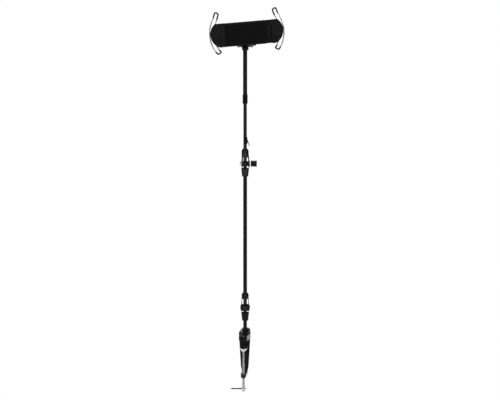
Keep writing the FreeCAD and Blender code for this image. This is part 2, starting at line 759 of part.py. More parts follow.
def side_cap(pivot_height, face, axis, radius, thick):
    """Domed cover over a bolt's head or nut."""
    return turned([(0, 0), (radius, 0), (radius, 0.35 * thick), (0.82 * radius, 0.75 * thick),
                   (0.45 * radius, thick), (0, thick)], Vector(face, 0, pivot_height), axis)


def lower_elbow_fork():
    body = fork(lower_pivot_height, lower_elbow_sides, lower_tube_diameter, lower_slit_reach)
    right_outer = lower_elbow_sides[3]
    return body.cut(rod(bolt_head_radius + seat_gap, Vector(right_outer, 0, lower_pivot_height), -RIGHT,
                        bolt_head_height))


def lower_elbow_nut():
    """Thin hexagon nut let into the right leg."""
    right_outer = lower_elbow_sides[3]
    corners = [Vector(0, bolt_head_radius * math.cos(math.radians(60 * turn)),
                      bolt_head_radius * math.sin(math.radians(60 * turn))) for turn in range(6)]
    nut = Part.Face(Part.makePolygon(corners + corners[:1])).extrude(-RIGHT * (bolt_head_height - 0.1))
    nut.translate(Vector(right_outer - 0.1, 0, lower_pivot_height))
    hole = rod(pivot_bolt_diameter / 2 + seat_gap, Vector(0, 0, lower_pivot_height), RIGHT, 2 * right_outer)
    return nut.cut(hole)


def lower_elbow_caps():
    _, left_outer, _, right_outer = lower_elbow_sides
    radius = boss_radius - 0.2
    return Part.makeCompound([side_cap(lower_pivot_height, -left_outer, -RIGHT, radius, side_cap_thickness),
                              side_cap(lower_pivot_height, right_outer, RIGHT, radius, side_cap_thickness)])


def knob_start():
    """x of the knob's neck, just outside the bright washer."""
    return middle_elbow_sides[3] + knob_washer_thickness


def knob_washer():
    return ring(knob_washer_radius, pivot_bolt_diameter / 2 + running_gap,
                Vector(middle_elbow_sides[3], 0, middle_pivot_height), RIGHT, knob_washer_thickness)


def knob_insert():
    """Steel nut moulded into the knob, with a neck that bears on the washer."""
    bore = pivot_bolt_diameter / 2 + running_gap
    depth = knob_neck_length + knob_bore_depth
    return turned([(bore, 0), (knob_neck_radius, 0), (knob_neck_radius, knob_neck_length + 6),
                   (knob_neck_radius + 0.8, knob_neck_length + 6), (knob_neck_radius + 0.8, depth - 1.5),
                   (knob_neck_radius, depth - 1.5), (knob_neck_radius, depth), (bore, depth)],
                  Vector(knob_start(), 0, middle_pivot_height), RIGHT)


def middle_elbow_knob():
    """Waisted, fluted knob."""
    start = Vector(knob_start() + knob_neck_length, 0, middle_pivot_height)
    outer = knob_radius
    body = turned([(0, 0), (outer - 0.8, 0), (outer, 0.8), (outer, knob_rim),
                   (knob_waist_radius, knob_rim + 1.6), (knob_waist_radius, knob_length - knob_rim - 1.6),
                   (outer, knob_length - knob_rim),
                   (outer, knob_length - 1), (outer - 1, knob_length), (0.6 * outer, knob_length),
                   (0.55 * outer, knob_length - 0.6), (0, knob_length - 0.6)], start, RIGHT)
    body = fluted(body, knob_flutes, knob_flute_radius,
                  knob_waist_radius + knob_flute_radius - knob_flute_depth, start, RIGHT, knob_length)
    neck = knob_neck_radius + seat_gap
    depth = knob_bore_depth + seat_gap
    cavity = turned([(0, 0), (neck, 0), (neck, 6 - seat_gap), (neck + 0.8, 6 - seat_gap),
                     (neck + 0.8, depth - 1.5), (neck, depth - 1.5), (neck, depth), (0, depth)], start, RIGHT)
    return body.cut(cavity)


# Tubes

def tube(diameter, wall, foot, top):
    return ring(diameter / 2, diameter / 2 - wall, Vector(0, 0, foot), UP, top - foot)


def lower_tube():
    foot = lower_pivot_height + fork_reach - socket_depth
    top = middle_pivot_height - skirt_reach + socket_depth
    return tube(lower_tube_diameter, lower_tube_wall, foot, top)


def inner_tube():
    return tube(inner_tube_diameter, inner_tube_wall, middle_pivot_height + fork_reach - socket_depth,
                inner_tube_top)


def outer_tube():
    return tube(outer_tube_diameter, outer_tube_wall, outer_tube_foot, outer_tube_top)


def guide_plug():
    """Plug on the inner tube's top that runs in the outer tube's bore."""
    spigot = inner_tube_diameter / 2 - inner_tube_wall - seat_gap
    head = outer_tube_diameter / 2 - outer_tube_wall - running_gap
    return turned([(0, -plug_spigot_length), (spigot, -plug_spigot_length), (spigot, 0), (head - 0.5, 0),
                   (head, 0.5), (head, plug_length - 0.8), (head - 0.8, plug_length), (0, plug_length)],
                  Vector(0, 0, inner_tube_top), UP)


def lock_collar():
    """Fluted nut on the outer tube's foot that squeezes the collet."""
    outer = collar_diameter / 2
    bore = outer_tube_diameter / 2 + running_gap
    mouth = inner_tube_diameter / 2 + free_gap
    body = turned([(mouth, 0), (outer - 0.6, 0), (outer, 0.6), (outer, collar_length - 4),
                   (outer - 0.6, collar_length - 1), (bore, collar_length), (bore, collar_lip),
                   (mouth, collar_lip)],
                  Vector(0, 0, collar_foot), UP)
    return fluted(body, collar_flutes, collar_flute_radius, outer + 0.4 * collar_flute_radius,
                  Vector(0, 0, collar_foot + 2.4), UP, collar_length - 8)


def lock_collet():
    """Split ring between the collar's lip and the outer tube's end."""
    inner = inner_tube_diameter / 2 + running_gap
    outer = outer_tube_diameter / 2 - running_gap
    body = ring(outer, inner, Vector(0, 0, collar_foot + collar_lip), UP, collet_length)
    slit = block((0, 2 * outer), (-collet_slit / 2, collet_slit / 2),
                 (collar_foot, collar_foot + collar_length))
    return body.cut(slit)


def cable_clip():
    """Open ring that snaps on the inner tube, with a springy finger on its right for a lead."""
    inner = inner_tube_diameter / 2
    foot = clip_foot
    outer = inner + clip_wall
    shift = 0.5 * clip_wall
    shell = rod(outer - shift, Vector(shift, 0, foot), UP, clip_length)
    shell = shell.cut(rod(inner + 0.02, Vector(0, 0, foot - 1), UP, clip_length + 2))
    half = math.radians(clip_mouth_angle / 2)
    reach = 3 * outer
    mouth = Part.makePolygon([Vector(0, 0, foot),
                              Vector(-reach * math.cos(half), reach * math.sin(half), foot),
                              Vector(-reach * math.cos(half), -reach * math.sin(half), foot),
                              Vector(0, 0, foot)])
    shell = shell.cut(prism(Part.Wire(mouth), UP * clip_length))
    root = foot + 0.5 * clip_length
    tip = foot - finger_drop / 2
    near = outer - 0.6
    far = outer + finger_gap
    side = [Vector(near, 0, root + 2), Vector(near + 1.4, 0, root + 1.2),
            Vector(far + finger_thickness, 0, tip + 1), Vector(far + finger_thickness, 0, tip),
            Vector(far, 0, tip), Vector(near, 0, root - 2)]
    finger = Part.Face(Part.makePolygon(side + side[:1])).extrude(BACK * finger_width)
    finger.translate(BACK * (-finger_width / 2))
    return shell.fuse(finger)


# Tilt head

def tube_head():
    """Socket on the outer tube's top that carries the hinge's cross barrel."""
    socket_foot = outer_tube_top - head_socket_length + 0.5
    radius = head_socket_radius
    stem = turned([(0, socket_foot), (head_neck_radius, socket_foot),
                   (radius, socket_foot + head_socket_taper), (radius, tilt_height), (0, tilt_height)],
                  Vector(0, 0, 0), UP)
    barrel = rod(barrel_radius, Vector(-barrel_half_length, 0, tilt_height), RIGHT, 2 * barrel_half_length)
    body = stem.fuse(barrel)
    body = body.cut(rod(outer_tube_diameter / 2 + seat_gap, Vector(0, 0, socket_foot - 1), UP,
                        outer_tube_top + seat_gap - socket_foot + 1))
    body = body.cut(rod(pivot_bolt_diameter / 2 + running_gap,
                        Vector(-2 * barrel_half_length, 0, tilt_height),
                        RIGHT, 4 * barrel_half_length))
    return body.cut(rod(set_screw_diameter / 2 + seat_gap, Vector(0, 0, set_screw_height()), RIGHT,
                        2 * head_socket_radius))


def set_screw_height():
    return outer_tube_top - head_socket_length / 2


def head_set_screw():
    start = outer_tube_diameter / 2 + seat_gap
    length = head_socket_radius + set_screw_stand_out - start
    radius = set_screw_diameter / 2
    return turned([(0, 0), (radius, 0), (radius, length - 0.4), (radius - 0.4, length), (1.0, length),
                   (1.0, length - 1.2), (0, length - 1.2)], Vector(start, 0, set_screw_height()), RIGHT)


def tilt_washers():
    bore = pivot_bolt_diameter / 2 + 2 * running_gap
    place = Vector(barrel_half_length, 0, tilt_height)
    right = ring(tilt_washer_radius, bore, place, RIGHT, tilt_washer_thickness)
    left = ring(tilt_washer_radius, bore, Vector(-place.x, 0, place.z), -RIGHT, tilt_washer_thickness)
    return Part.makeCompound([left, right])


def tilt_bracket():
    """Two lugs that hold the barrel, joined in front by the plate that carries the cradle."""
    foot = tilt_height - barrel_radius
    crown = swivel_height + plate_rise
    half = bracket_half_width

    def at(y, z):
        return Vector(-half, y, z)

    outline = Part.Wire([
        line(at(-plate_front, foot + 5), at(-plate_back, foot + 1.5)),
        line(at(-plate_back, foot + 1.5), at(0, foot)),
        arc(at(0, foot), at(barrel_radius, tilt_height), at(0, tilt_height + barrel_radius)),
        line(at(0, tilt_height + barrel_radius), at(-plate_back, crown)),
        line(at(-plate_back, crown), at(-plate_front, crown)),
        line(at(-plate_front, crown), at(-plate_front, foot + 5)),
    ])
    body = prism(outline, RIGHT * 2 * half)
    rim = [edge for edge in body.Edges if min(abs(abs(vertex.X) - half) for vertex in edge.Vertexes) < 0.01
           and max(abs(edge.Vertexes[0].X - vertex.X) for vertex in edge.Vertexes) < 0.01]
    body = body.makeFillet(bracket_corner, rim)
    gap = barrel_half_length + tilt_washer_thickness
    body = body.cut(block((-gap, gap), (-plate_back, 2 * barrel_radius), (foot - 5, crown + 5)))
    body = body.cut(rod(pivot_bolt_diameter / 2 + seat_gap, Vector(-2 * half, 0, tilt_height), RIGHT,
                        4 * half))
    return body.cut(rod(pivot_bolt_diameter / 2 + seat_gap, Vector(0, -cradle_face, swivel_height), BACK,
                        cradle_face))


def tilt_bolt():
    """Round-headed bolt through lugs and barrel, its thread carries the tilt nut."""
    shank = pivot_bolt_diameter / 2
    head = tilt_bolt_head_radius
    height = tilt_bolt_head_height
    end = height + 2 * bracket_half_width + tilt_nut_length - 1.2
    return turned([(0, 0), (head - 1.4, 0), (head, 1.4), (head, height), (shank, height), (shank, end),
                   (0, end)],
                  Vector(-bracket_half_width - height, 0, tilt_height), RIGHT)


def tilt_nut():
    """Small fluted thumb nut at the right of the head."""
    outer = tilt_nut_radius
    bore = pivot_bolt_diameter / 2 + running_gap
    start = Vector(bracket_half_width, 0, tilt_height)
    length = tilt_nut_length
    body = turned([(bore, 0), (outer - 0.5, 0), (outer, 0.5), (outer, length - 0.8), (outer - 0.8, length),
                   (0, length), (0, length - 1.1), (bore, length - 1.1)], start, RIGHT)
    return fluted(body, tilt_nut_flutes, 1.0, outer + 0.4, start + RIGHT * 1.2, RIGHT, length)


def swivel_screw():
    """Shoulder screw that the cradle turns on."""
    shank = pivot_bolt_diameter / 2
    head = swivel_head_radius
    length = bracket_plate_thickness + swivel_washer_thickness + shell_wall + swivel_nut_thickness + 0.5
    return turned([(0, -swivel_head_height), (head - 1, -swivel_head_height), (head, 1 - swivel_head_height),
                   (head, 0), (shank, 0), (shank, length), (0, length)],
                   Vector(0, -plate_back, swivel_height), -BACK)


def swivel_nut():
    start = Vector(0, -housing_back - shell_wall, swivel_height)
    return ring(swivel_head_radius, pivot_bolt_diameter / 2 + seat_gap, start, -BACK, swivel_nut_thickness)


def swivel_washer():
    return ring(swivel_washer_radius, pivot_bolt_diameter / 2 + 2 * running_gap,
                Vector(0, -plate_front, swivel_height), -BACK, swivel_washer_thickness)


# Cradle, drawn level about the swivel's axis: x along the cradle, z across it, -y towards the tablet

def placed_cradle(shape):
    """Roll a level cradle piece and lift it to the swivel's axis."""
    shape.rotate(Vector(0, 0, 0), BACK, -cradle_roll)
    shape.translate(UP * swivel_height)
    return shape


def housing_prism(profile, half_length):
    """Prism along the cradle from (depth in front of the arm's axis, height) corners."""
    corners = [Vector(-half_length, -depth, height) for depth, height in profile]
    return Part.Face(Part.makePolygon(corners + corners[:1])).extrude(RIGHT * 2 * half_length)


def cover_screw_places():
    return [(across, level * cover_screw_up) for across in (cover_screw_left, cover_screw_right)
            for level in (-1, 1)]


def cradle_front():
    """Front cover with bevelled long edges, open towards the rear shell."""
    high = cradle_half_height
    wall = shell_wall
    bevel_start = cradle_face - front_bevel_depth
    flat = high - front_bevel_width
    outside = [(split_depth, high), (bevel_start, high), (cradle_face, flat), (cradle_face, -flat),
               (bevel_start, -high), (split_depth, -high)]
    inside = [(split_depth - 1, high - wall), (bevel_start - 0.3 * wall, high - wall),
              (cradle_face - wall, flat - 0.2 * wall), (cradle_face - wall, wall - flat - 0.8 * wall),
              (bevel_start - 0.3 * wall, wall - high), (split_depth - 1, wall - high)]
    body = housing_prism(outside, housing_half_length).cut(housing_prism(inside, housing_half_length - wall))
    for across, up in cover_screw_places():
        boss = rod(cover_boss_radius, Vector(across, -split_depth, up), -BACK, cover_depth - wall)
        body = body.fuse(boss)
    keep = housing_prism(outside, housing_half_length)
    body = body.common(keep)
    for across, up in cover_screw_places():
        body = body.cut(rod(cover_screw_radius + seat_gap, Vector(across, -split_depth, up), -BACK,
                            cover_depth - wall - 1))
    height = high - wall
    body = body.cut(block((housing_half_length / 2, 2 * housing_half_length),
                          (-slide_front - free_gap, -split_depth), (-height, height)))
    height = tenon_half_height + seat_gap
    body = body.cut(block((-2 * housing_half_length, wall - housing_half_length + 0.1),
                          (-slide_front - seat_gap, -split_depth), (-height, height)))
    return placed_cradle(body)


def cradle_back():
    """Rear shell with the swivel's seat, the spring anchors and the screw pillars."""
    high = cradle_half_height
    wall = shell_wall
    outside = [(housing_back, high - rear_bevel), (housing_back + rear_bevel, high), (split_depth, high),
               (split_depth, -high), (housing_back + rear_bevel, -high), (housing_back, rear_bevel - high)]
    inside = [(housing_back + wall, high - wall - 0.6), (housing_back + wall + 0.6, high - wall),
              (split_depth + 1, high - wall), (split_depth + 1, wall - high),
              (housing_back + wall + 0.6, wall - high), (housing_back + wall, wall + 0.6 - high)]
    body = housing_prism(outside, housing_half_length).cut(housing_prism(inside, housing_half_length - wall))
    pillars = [rod(cover_boss_radius, Vector(across, -housing_back - rear_bevel, up), -BACK,
                   split_depth - housing_back - rear_bevel) for across, up in cover_screw_places()]
    anchors = [rod(spring_post_radius, Vector(-spring_anchor, -housing_back - 1, level * spring_height),
                   -BACK, slide_front - housing_back - 1)
               for level in (-1, 1)]
    body = body.fuse(pillars + anchors)
    for across, up in cover_screw_places():
        start = Vector(across, -housing_back, up)
        body = body.cut(rod(cover_screw_radius + seat_gap, start, -BACK, cradle_depth))
        body = body.cut(rod(cover_screw_head_radius + seat_gap, start, -BACK, cover_screw_head_height))
    body = body.cut(rod(pivot_bolt_diameter / 2 + running_gap, Vector(0, 0, 0), -BACK, 2 * cradle_face))
    return placed_cradle(body)


def round_head_screw(place, axis, shank, head, head_height, length):
    return turned([(0, 0), (head - 0.3, 0), (head, 0.3), (head, head_height), (shank, head_height),
                   (shank, length), (0, length)], place, axis)


def cover_screws():
    screws = [round_head_screw(Vector(across, -housing_back, up), -BACK, cover_screw_radius,
                               cover_screw_head_radius, cover_screw_head_height, cover_screw_length)
              for across, up in cover_screw_places()]
    return placed_cradle(Part.makeCompound(screws))


def jaw_outline(side, inner_edge, end, depth):
    """Jaw seen from the front: straight inner edge, rounded end that slopes more at its foot."""
    high = cradle_half_height
    upper = side * (end - upper_corner_setback)
    lower = side * (end - lower_corner_setback)

    def at(x, z):
        return Vector(x, -depth, z)

    return Part.Wire([
        line(at(side * inner_edge, -high), at(side * inner_edge, high)),
        line(at(side * inner_edge, high), at(upper, high)),
        arc(at(upper, high), at(side * end, end_bulge_height), at(lower, -high)),
        line(at(lower, -high), at(side * inner_edge, -high)),
    ])


def jaw_screw_places(side, end):
    x = side * (end - lower_corner_setback - 1)
    return [(x, jaw_screw_up), (x, -jaw_screw_up)]


def grip_ridges_at(side, end):
    """Raised ridges on the jaw's lower corner, along its slope."""
    angle = math.radians(grip_angle)
    along = Vector(side * math.cos(angle), 0, math.sin(angle))
    inward = Vector(-side * math.sin(angle), 0, math.cos(angle))
    inset = grip_inset_left if side < 0 else grip_inset_right
    corner = Vector(side * (end - inset), -cradle_face, -cradle_half_height + grip_corner_rise)
    ridges = []
    for index in range(grip_ridges):
        middle = corner + inward * (grip_ridge_pitch * (index + 0.6))
        length = grip_ridge_length - grip_length_step * index
        ridges.append(rod(grip_ridge_radius, middle - along * (length / 2), along, length))
    return ridges


def jaw_front(side, inner_edge, end):
    """Front half of a jaw, with the groove for half of the claw's wire in its rear face."""
    front = jaw_outline(side, inner_edge, end, claw_depth)
    body = prism(front, -BACK * (cradle_face - claw_depth))
    rim = [edge for edge in body.Edges if all(abs(vertex.Y + cradle_face) < 0.01 for vertex in edge.Vertexes)
           and not all(abs(abs(vertex.X) - inner_edge) < 0.01 for vertex in edge.Vertexes)]
    body = body.makeChamfer(jaw_edge_bevel, rim)
    body = body.fuse(grip_ridges_at(side, end))
    body = body.cut(claw_wire(side, end, claw_wire_diameter / 2 + seat_gap))
    for x, z in jaw_screw_places(side, end):
        body = body.cut(rod(jaw_screw_radius + seat_gap, Vector(x, -claw_depth, z), -BACK, jaw_screw_length))
    return body


def jaw_back(side, inner_edge, end):
    """Rear cover that clamps the claw's wire in the jaw."""
    body = prism(jaw_outline(side, inner_edge, end, housing_back), -BACK * jaw_back_thickness)
    body = body.cut(claw_wire(side, end, claw_wire_diameter / 2 + seat_gap))
    for x, z in jaw_screw_places(side, end):
        start = Vector(x, -housing_back, z)
        body = body.cut(rod(jaw_screw_radius + seat_gap, start, -BACK, cradle_depth))
        body = body.cut(rod(jaw_screw_head_radius + seat_gap, start, -BACK, jaw_screw_head_height))
    return placed_cradle(body)


def jaw_screws(side, end):
    screws = [round_head_screw(Vector(x, -housing_back, z), -BACK, jaw_screw_radius, jaw_screw_head_radius,
                               jaw_screw_head_height, jaw_screw_length)
              for x, z in jaw_screw_places(side, end)]
    return placed_cradle(Part.makeCompound(screws))


def fixed_jaw():
    body = jaw_front(-1, housing_half_length, left_end)
    tenon = block((-housing_half_length - 1, tenon_length - housing_half_length), (-slide_front, -slide_back),
                  (-tenon_half_height, tenon_half_height))
    return placed_cradle(body.fuse(tenon))


def brace_recesses(start, end, half_height):
    """Four triangular recesses that leave an X in one cell of the slide."""
    low = -half_height + brace_frame
    high = half_height - brace_frame
    middle = Vector((start + end) / 2, 0, 0)
    half = brace_width / 2
    outer_corners = [Vector(start, 0, low), Vector(end, 0, low), Vector(end, 0, high), Vector(start, 0, high)]
    recesses = []
    for index, first in enumerate(outer_corners):
        second = outer_corners[(index + 1) % 4]
        along = (second - first).normalize()
        to_middle = middle - (first + second) * 0.5
        inset = to_middle.Length
        into = to_middle * (1 / inset)
        spread = (second - first).Length / 2
        trim = half * math.hypot(spread, inset) / inset
        cut_first = first + along * trim
        cut_second = second - along * trim
        tip = middle - into * (half * math.hypot(spread, inset) / spread)
        corners = [cut_first, cut_second, tip]
        triangle = Part.Face(Part.makePolygon(corners + corners[:1])).extrude(BACK * brace_recess)
        triangle.translate(Vector(0, -slide_front, 0))
        recesses.append(triangle)
    return recesses


def sliding_jaw():
    """Right jaw with its cross-braced slide: as high as the cradle where it shows, lower in the housing."""
    body = jaw_front(1, sliding_edge, right_end)
    slide_start = housing_half_length + free_gap
    shown = block((slide_start, sliding_edge + 1), (-slide_front, -slide_back),
                  (-cradle_half_height, cradle_half_height))
    slide = block((slide_inner_end, sliding_edge), (-slide_front, -slide_back),
                  (-slide_half_height, slide_half_height)).fuse(shown)
    slide = slide.cut(Part.makeCompound(brace_recesses(slide_start, sliding_edge, cradle_half_height)))
    for index in range(int((housing_half_length - slide_inner_end) // slide_gap)):
        start = housing_half_length - (index + 1) * slide_gap
        slide = slide.cut(Part.makeCompound(brace_recesses(start, start + slide_gap, slide_half_height)))
    for level in (-1, 1):
        slide = slide.cut(rod(spring_bore, Vector(slide_inner_end, -slide_back + 1, level * spring_height),
                              -BACK, slide_thickness + 2))
    return placed_cradle(body.fuse(slide))


def return_springs():
    """Two draw springs between the anchors and the slide, closed sleeves here: they are never seen."""
    start = -spring_anchor + spring_post_radius + free_gap
    length = slide_inner_end - free_gap - start
    depth = (slide_front + slide_back) / 2
    springs = [ring(spring_radius, spring_bore, Vector(start, -depth, level * spring_height), RIGHT, length)
               for level in (-1, 1)]
    return placed_cradle(Part.makeCompound(springs))


# Claws: one bent wire at each end, a double C whose four ends hook over the tablet's edges

def claw_frame(side, end):
    """Centre of the claw's arcs."""
    return Vector(side * (end + claw_stand_off - claw_radius), -claw_depth, claw_centre_height)


def claw_point(side, end, radius, angle):
    turn = math.radians(angle)
    return claw_frame(side, end) + Vector(side * radius * math.cos(turn), 0, radius * math.sin(turn))


def hook_edges(side, end, level):
    """Outer arc's end, up to the tip and back to the inner arc, at the upper or lower hook."""
    angle = level * claw_hook_angle
    turn = math.radians(angle)
    along = Vector(-side * math.sin(turn), 0, math.cos(turn)) * level
    inward = Vector(-side * math.cos(turn), 0, -math.sin(turn))
    forward = -BACK
    lean = math.radians(claw_lean)
    rise = along * math.cos(lean) + forward * math.sin(lean)
    outer = claw_point(side, end, claw_radius, angle)

    def bent(root, part):
        share = lean * part
        return root + (along * math.sin(share) + forward * (1 - math.cos(share))) * claw_bend_radius

    inner = outer + inward * claw_spacing
    outer_bent = bent(outer, 1)
    inner_bent = bent(inner, 1)
    outer_tip = outer_bent + rise * claw_straight
    inner_tip = inner_bent + rise * claw_straight
    crown = (outer_tip + inner_tip) * 0.5 + rise * (claw_spacing / 2)
    return [
        arc(outer, bent(outer, 0.5), outer_bent),
        line(outer_bent, outer_tip),
        arc(outer_tip, crown, inner_tip),
        line(inner_tip, inner_bent),
        arc(inner_bent, bent(inner, 0.5), inner),
    ]


def inner_arc(side, end, first, last):
    radius = claw_radius - claw_spacing
    middle = (first + last) / 2
    return arc(claw_point(side, end, radius, first), claw_point(side, end, radius, middle),
               claw_point(side, end, radius, last))


def claw_wire(side, end, radius):
    """The whole wire: inner end, lower hook, round the outside, upper hook, inner end."""
    hook = claw_hook_angle
    around = arc(claw_point(side, end, claw_radius, -hook), claw_point(side, end, claw_radius, 0),
                 claw_point(side, end, claw_radius, hook))
    edges = [inner_arc(side, end, -claw_root_angle, -hook)]
    edges += list(reversed(hook_edges(side, end, -1)))
    edges += [around]
    edges += hook_edges(side, end, 1)
    edges += [inner_arc(side, end, hook, claw_root_angle)]
    return bent_rod(edges, radius)


def claw(side, end):
    return placed_cradle(claw_wire(side, end, claw_wire_diameter / 2))


def claw_sleeves(side, end):
    """Soft sleeves over the four hooks, which touch the tablet's edges."""
    sleeves = []
    for level in (-1, 1):
        path = hook_edges(side, end, level)[1:4]
        thick = bent_rod(path, claw_wire_diameter / 2 + sleeve_wall)
        sleeves.append(thick.cut(bent_rod(path, claw_wire_diameter / 2 + 0.01)))
    return placed_cradle(Part.makeCompound(sleeves))


def all_pieces():
    """Every piece by the name of its node."""
    lower_bolt_end = lower_elbow_sides[3] - 0.2
    middle_bolt_end = knob_start() + knob_neck_length + knob_bore_depth - 0.5
    return {
        "clamp_body": clamp_body(),
        "upper_jaw_pad": upper_jaw_pad(),
        "socket_bush": socket_bush(),
        "pressure_dish": pressure_dish(),
        "dish_disc": dish_disc(),
        "clamp_screw": clamp_screw(),
        "cross_bar": cross_bar(),
        "cross_bar_stops": cross_bar_stops(),
        "swivel_post": swivel_post(),
        "lower_elbow_tongue": tongue(lower_pivot_height, post_diameter),
        "lower_elbow_washers": elbow_washers(lower_pivot_height, lower_elbow_sides, lower_washer_radius),
        "lower_elbow_fork": lower_elbow_fork(),
        "lower_elbow_bolt": elbow_bolt(lower_pivot_height, lower_elbow_sides, lower_bolt_end),
        "lower_elbow_nut": lower_elbow_nut(),
        "lower_elbow_caps": lower_elbow_caps(),
        "lower_tube": lower_tube(),
        "middle_elbow_tongue": tongue(middle_pivot_height, lower_tube_diameter),
        "middle_elbow_washers": elbow_washers(middle_pivot_height, middle_elbow_sides, middle_washer_radius),
        "middle_elbow_fork": fork(middle_pivot_height, middle_elbow_sides, inner_tube_diameter,
                                  middle_slit_reach),
        "middle_elbow_bolt": elbow_bolt(middle_pivot_height, middle_elbow_sides, middle_bolt_end),
        "middle_elbow_cap": side_cap(middle_pivot_height, -middle_elbow_sides[1], -RIGHT, middle_cap_radius,
                                     middle_cap_thickness),
        "knob_washer": knob_washer(),
        "knob_insert": knob_insert(),
        "middle_elbow_knob": middle_elbow_knob(),
        "inner_tube": inner_tube(),
        "guide_plug": guide_plug(),
        "cable_clip": cable_clip(),
        "outer_tube": outer_tube(),
        "lock_collet": lock_collet(),
        "lock_collar": lock_collar(),
        "tube_head": tube_head(),
        "head_set_screw": head_set_screw(),
        "tilt_washers": tilt_washers(),
        "tilt_bracket": tilt_bracket(),
        "tilt_bolt": tilt_bolt(),
        "tilt_nut": tilt_nut(),
        "swivel_screw": swivel_screw(),
        "swivel_nut": swivel_nut(),
        "swivel_washer": swivel_washer(),
        "cradle_back": cradle_back(),
        "cradle_front": cradle_front(),
        "cover_screws": cover_screws(),
        "return_springs": return_springs(),
        "fixed_jaw": fixed_jaw(),
        "fixed_jaw_back": jaw_back(-1, housing_half_length, left_end),
        "fixed_jaw_screws": jaw_screws(-1, left_end),
        "left_claw": claw(-1, left_end),
        "left_claw_sleeves": claw_sleeves(-1, left_end),
        "sliding_jaw": sliding_jaw(),
        "sliding_jaw_back": jaw_back(1, sliding_edge, right_end),
        "sliding_jaw_screws": jaw_screws(1, right_end),
        "right_claw": claw(1, right_end),
        "right_claw_sleeves": claw_sleeves(1, right_end),
    }


os.makedirs("parts", exist_ok=True)
for name, shape in all_pieces().items():
    shape.translate(-screw_axis)
    shape.exportStep("parts/" + name + ".step")
    print(name, "solids", len(shape.Solids), "valid", shape.isValid(), "volume", round(shape.Volume, 1))
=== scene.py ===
"""Tablet arm holder: finishes, fasteners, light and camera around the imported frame.

Everything is in metres in the row frame: +Z up, -Y towards the person who looks at the tablet.
The origin is the middle of the clamp pad's face, on the axis of the clamp's screw.
"""

import json
import logging
import math
from dataclasses import dataclass, field
from enum import Enum
from typing import ClassVar

import bmesh
import bpy
from mathutils import Matrix, Vector

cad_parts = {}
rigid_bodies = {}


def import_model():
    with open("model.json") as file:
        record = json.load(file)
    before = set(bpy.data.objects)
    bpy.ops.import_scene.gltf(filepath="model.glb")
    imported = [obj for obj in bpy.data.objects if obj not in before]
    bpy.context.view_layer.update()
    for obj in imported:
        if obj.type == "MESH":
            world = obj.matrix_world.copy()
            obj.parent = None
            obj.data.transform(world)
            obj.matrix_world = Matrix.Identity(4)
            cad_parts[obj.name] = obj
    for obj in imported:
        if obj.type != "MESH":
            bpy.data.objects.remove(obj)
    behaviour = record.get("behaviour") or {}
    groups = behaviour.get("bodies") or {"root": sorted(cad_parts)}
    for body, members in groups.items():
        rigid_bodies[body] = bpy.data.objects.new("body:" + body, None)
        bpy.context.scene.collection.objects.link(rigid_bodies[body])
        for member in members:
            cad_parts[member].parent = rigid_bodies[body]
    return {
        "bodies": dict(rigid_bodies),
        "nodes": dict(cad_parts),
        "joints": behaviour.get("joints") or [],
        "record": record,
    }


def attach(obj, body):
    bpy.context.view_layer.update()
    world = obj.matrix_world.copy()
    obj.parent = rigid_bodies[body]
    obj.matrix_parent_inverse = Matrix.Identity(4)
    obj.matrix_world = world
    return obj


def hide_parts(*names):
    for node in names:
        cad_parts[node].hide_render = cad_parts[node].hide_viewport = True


log = logging.getLogger("tablet_arm")

Triple = tuple[float, float, float]
Colour = Triple
Outline = list[tuple[float, float]]

MM = 0.001
FULL_TURN = 2 * math.pi
SMOOTH_ANGLE = 35.0
HEXAGON_SIDES = 6
EVEN: Triple = (1.0, 1.0, 1.0)
WHITE: Colour = (1.0, 1.0, 1.0)

# Sockets of the Mix node when it mixes colours
MIX_SHARE = 0
MIX_FIRST = 6
MIX_SECOND = 7
MIX_RESULT = 2


class Axis(Enum):
    """Directions that screws and bores run in."""

    RIGHT = (1.0, 0.0, 0.0)
    FRONT = (0.0, -1.0, 0.0)

    @property
    def vector(self) -> Vector:
        """The direction as a vector."""
        return Vector(self.value)


class Recess(Enum):
    """What a driver fits into in a screw's head."""

    CROSS = "cross"
    HEXAGON = "hexagon"


# Arithmetic on shader sockets


class Link:
    """A socket of a node tree that takes part in Python arithmetic."""

    def __init__(self, tree: "Tree", socket: bpy.types.NodeSocket) -> None:
        """Wraps one output socket of the tree."""
        self.tree = tree
        self.socket = socket

    def _math(self, operation: str, first: "Link | float", second: "Link | float") -> "Link":
        """Adds a Math node.

        Args:
            operation: The Math node's operation.
            first: Its first value.
            second: Its second value.

        Returns:
            The node's result.
        """
        return self.tree.node("ShaderNodeMath", {"operation": operation}, {0: first, 1: second})

    def __add__(self, other: "Link | float") -> "Link":
        """self + other."""
        return self._math("ADD", self, other)

    __radd__ = __add__

    def __sub__(self, other: "Link | float") -> "Link":
        """self - other."""
        return self._math("SUBTRACT", self, other)

    def __rsub__(self, other: "Link | float") -> "Link":
        """other - self."""
        return self._math("SUBTRACT", other, self)

    def __mul__(self, other: "Link | float") -> "Link":
        """self * other."""
        return self._math("MULTIPLY", self, other)

    __rmul__ = __mul__

    def at_least(self, other: "Link | float") -> "Link":
        """The larger of the two."""
        return self._math("MAXIMUM", self, other)

    def between(self, low: float, high: float) -> "Link":
        """0 below low, 1 above high, and a smooth rise in between."""
        settings = {"interpolation_type": "SMOOTHSTEP"}
        values = {"Value": self, "From Min": low, "From Max": high}
        return self.tree.node("ShaderNodeMapRange", settings, values)


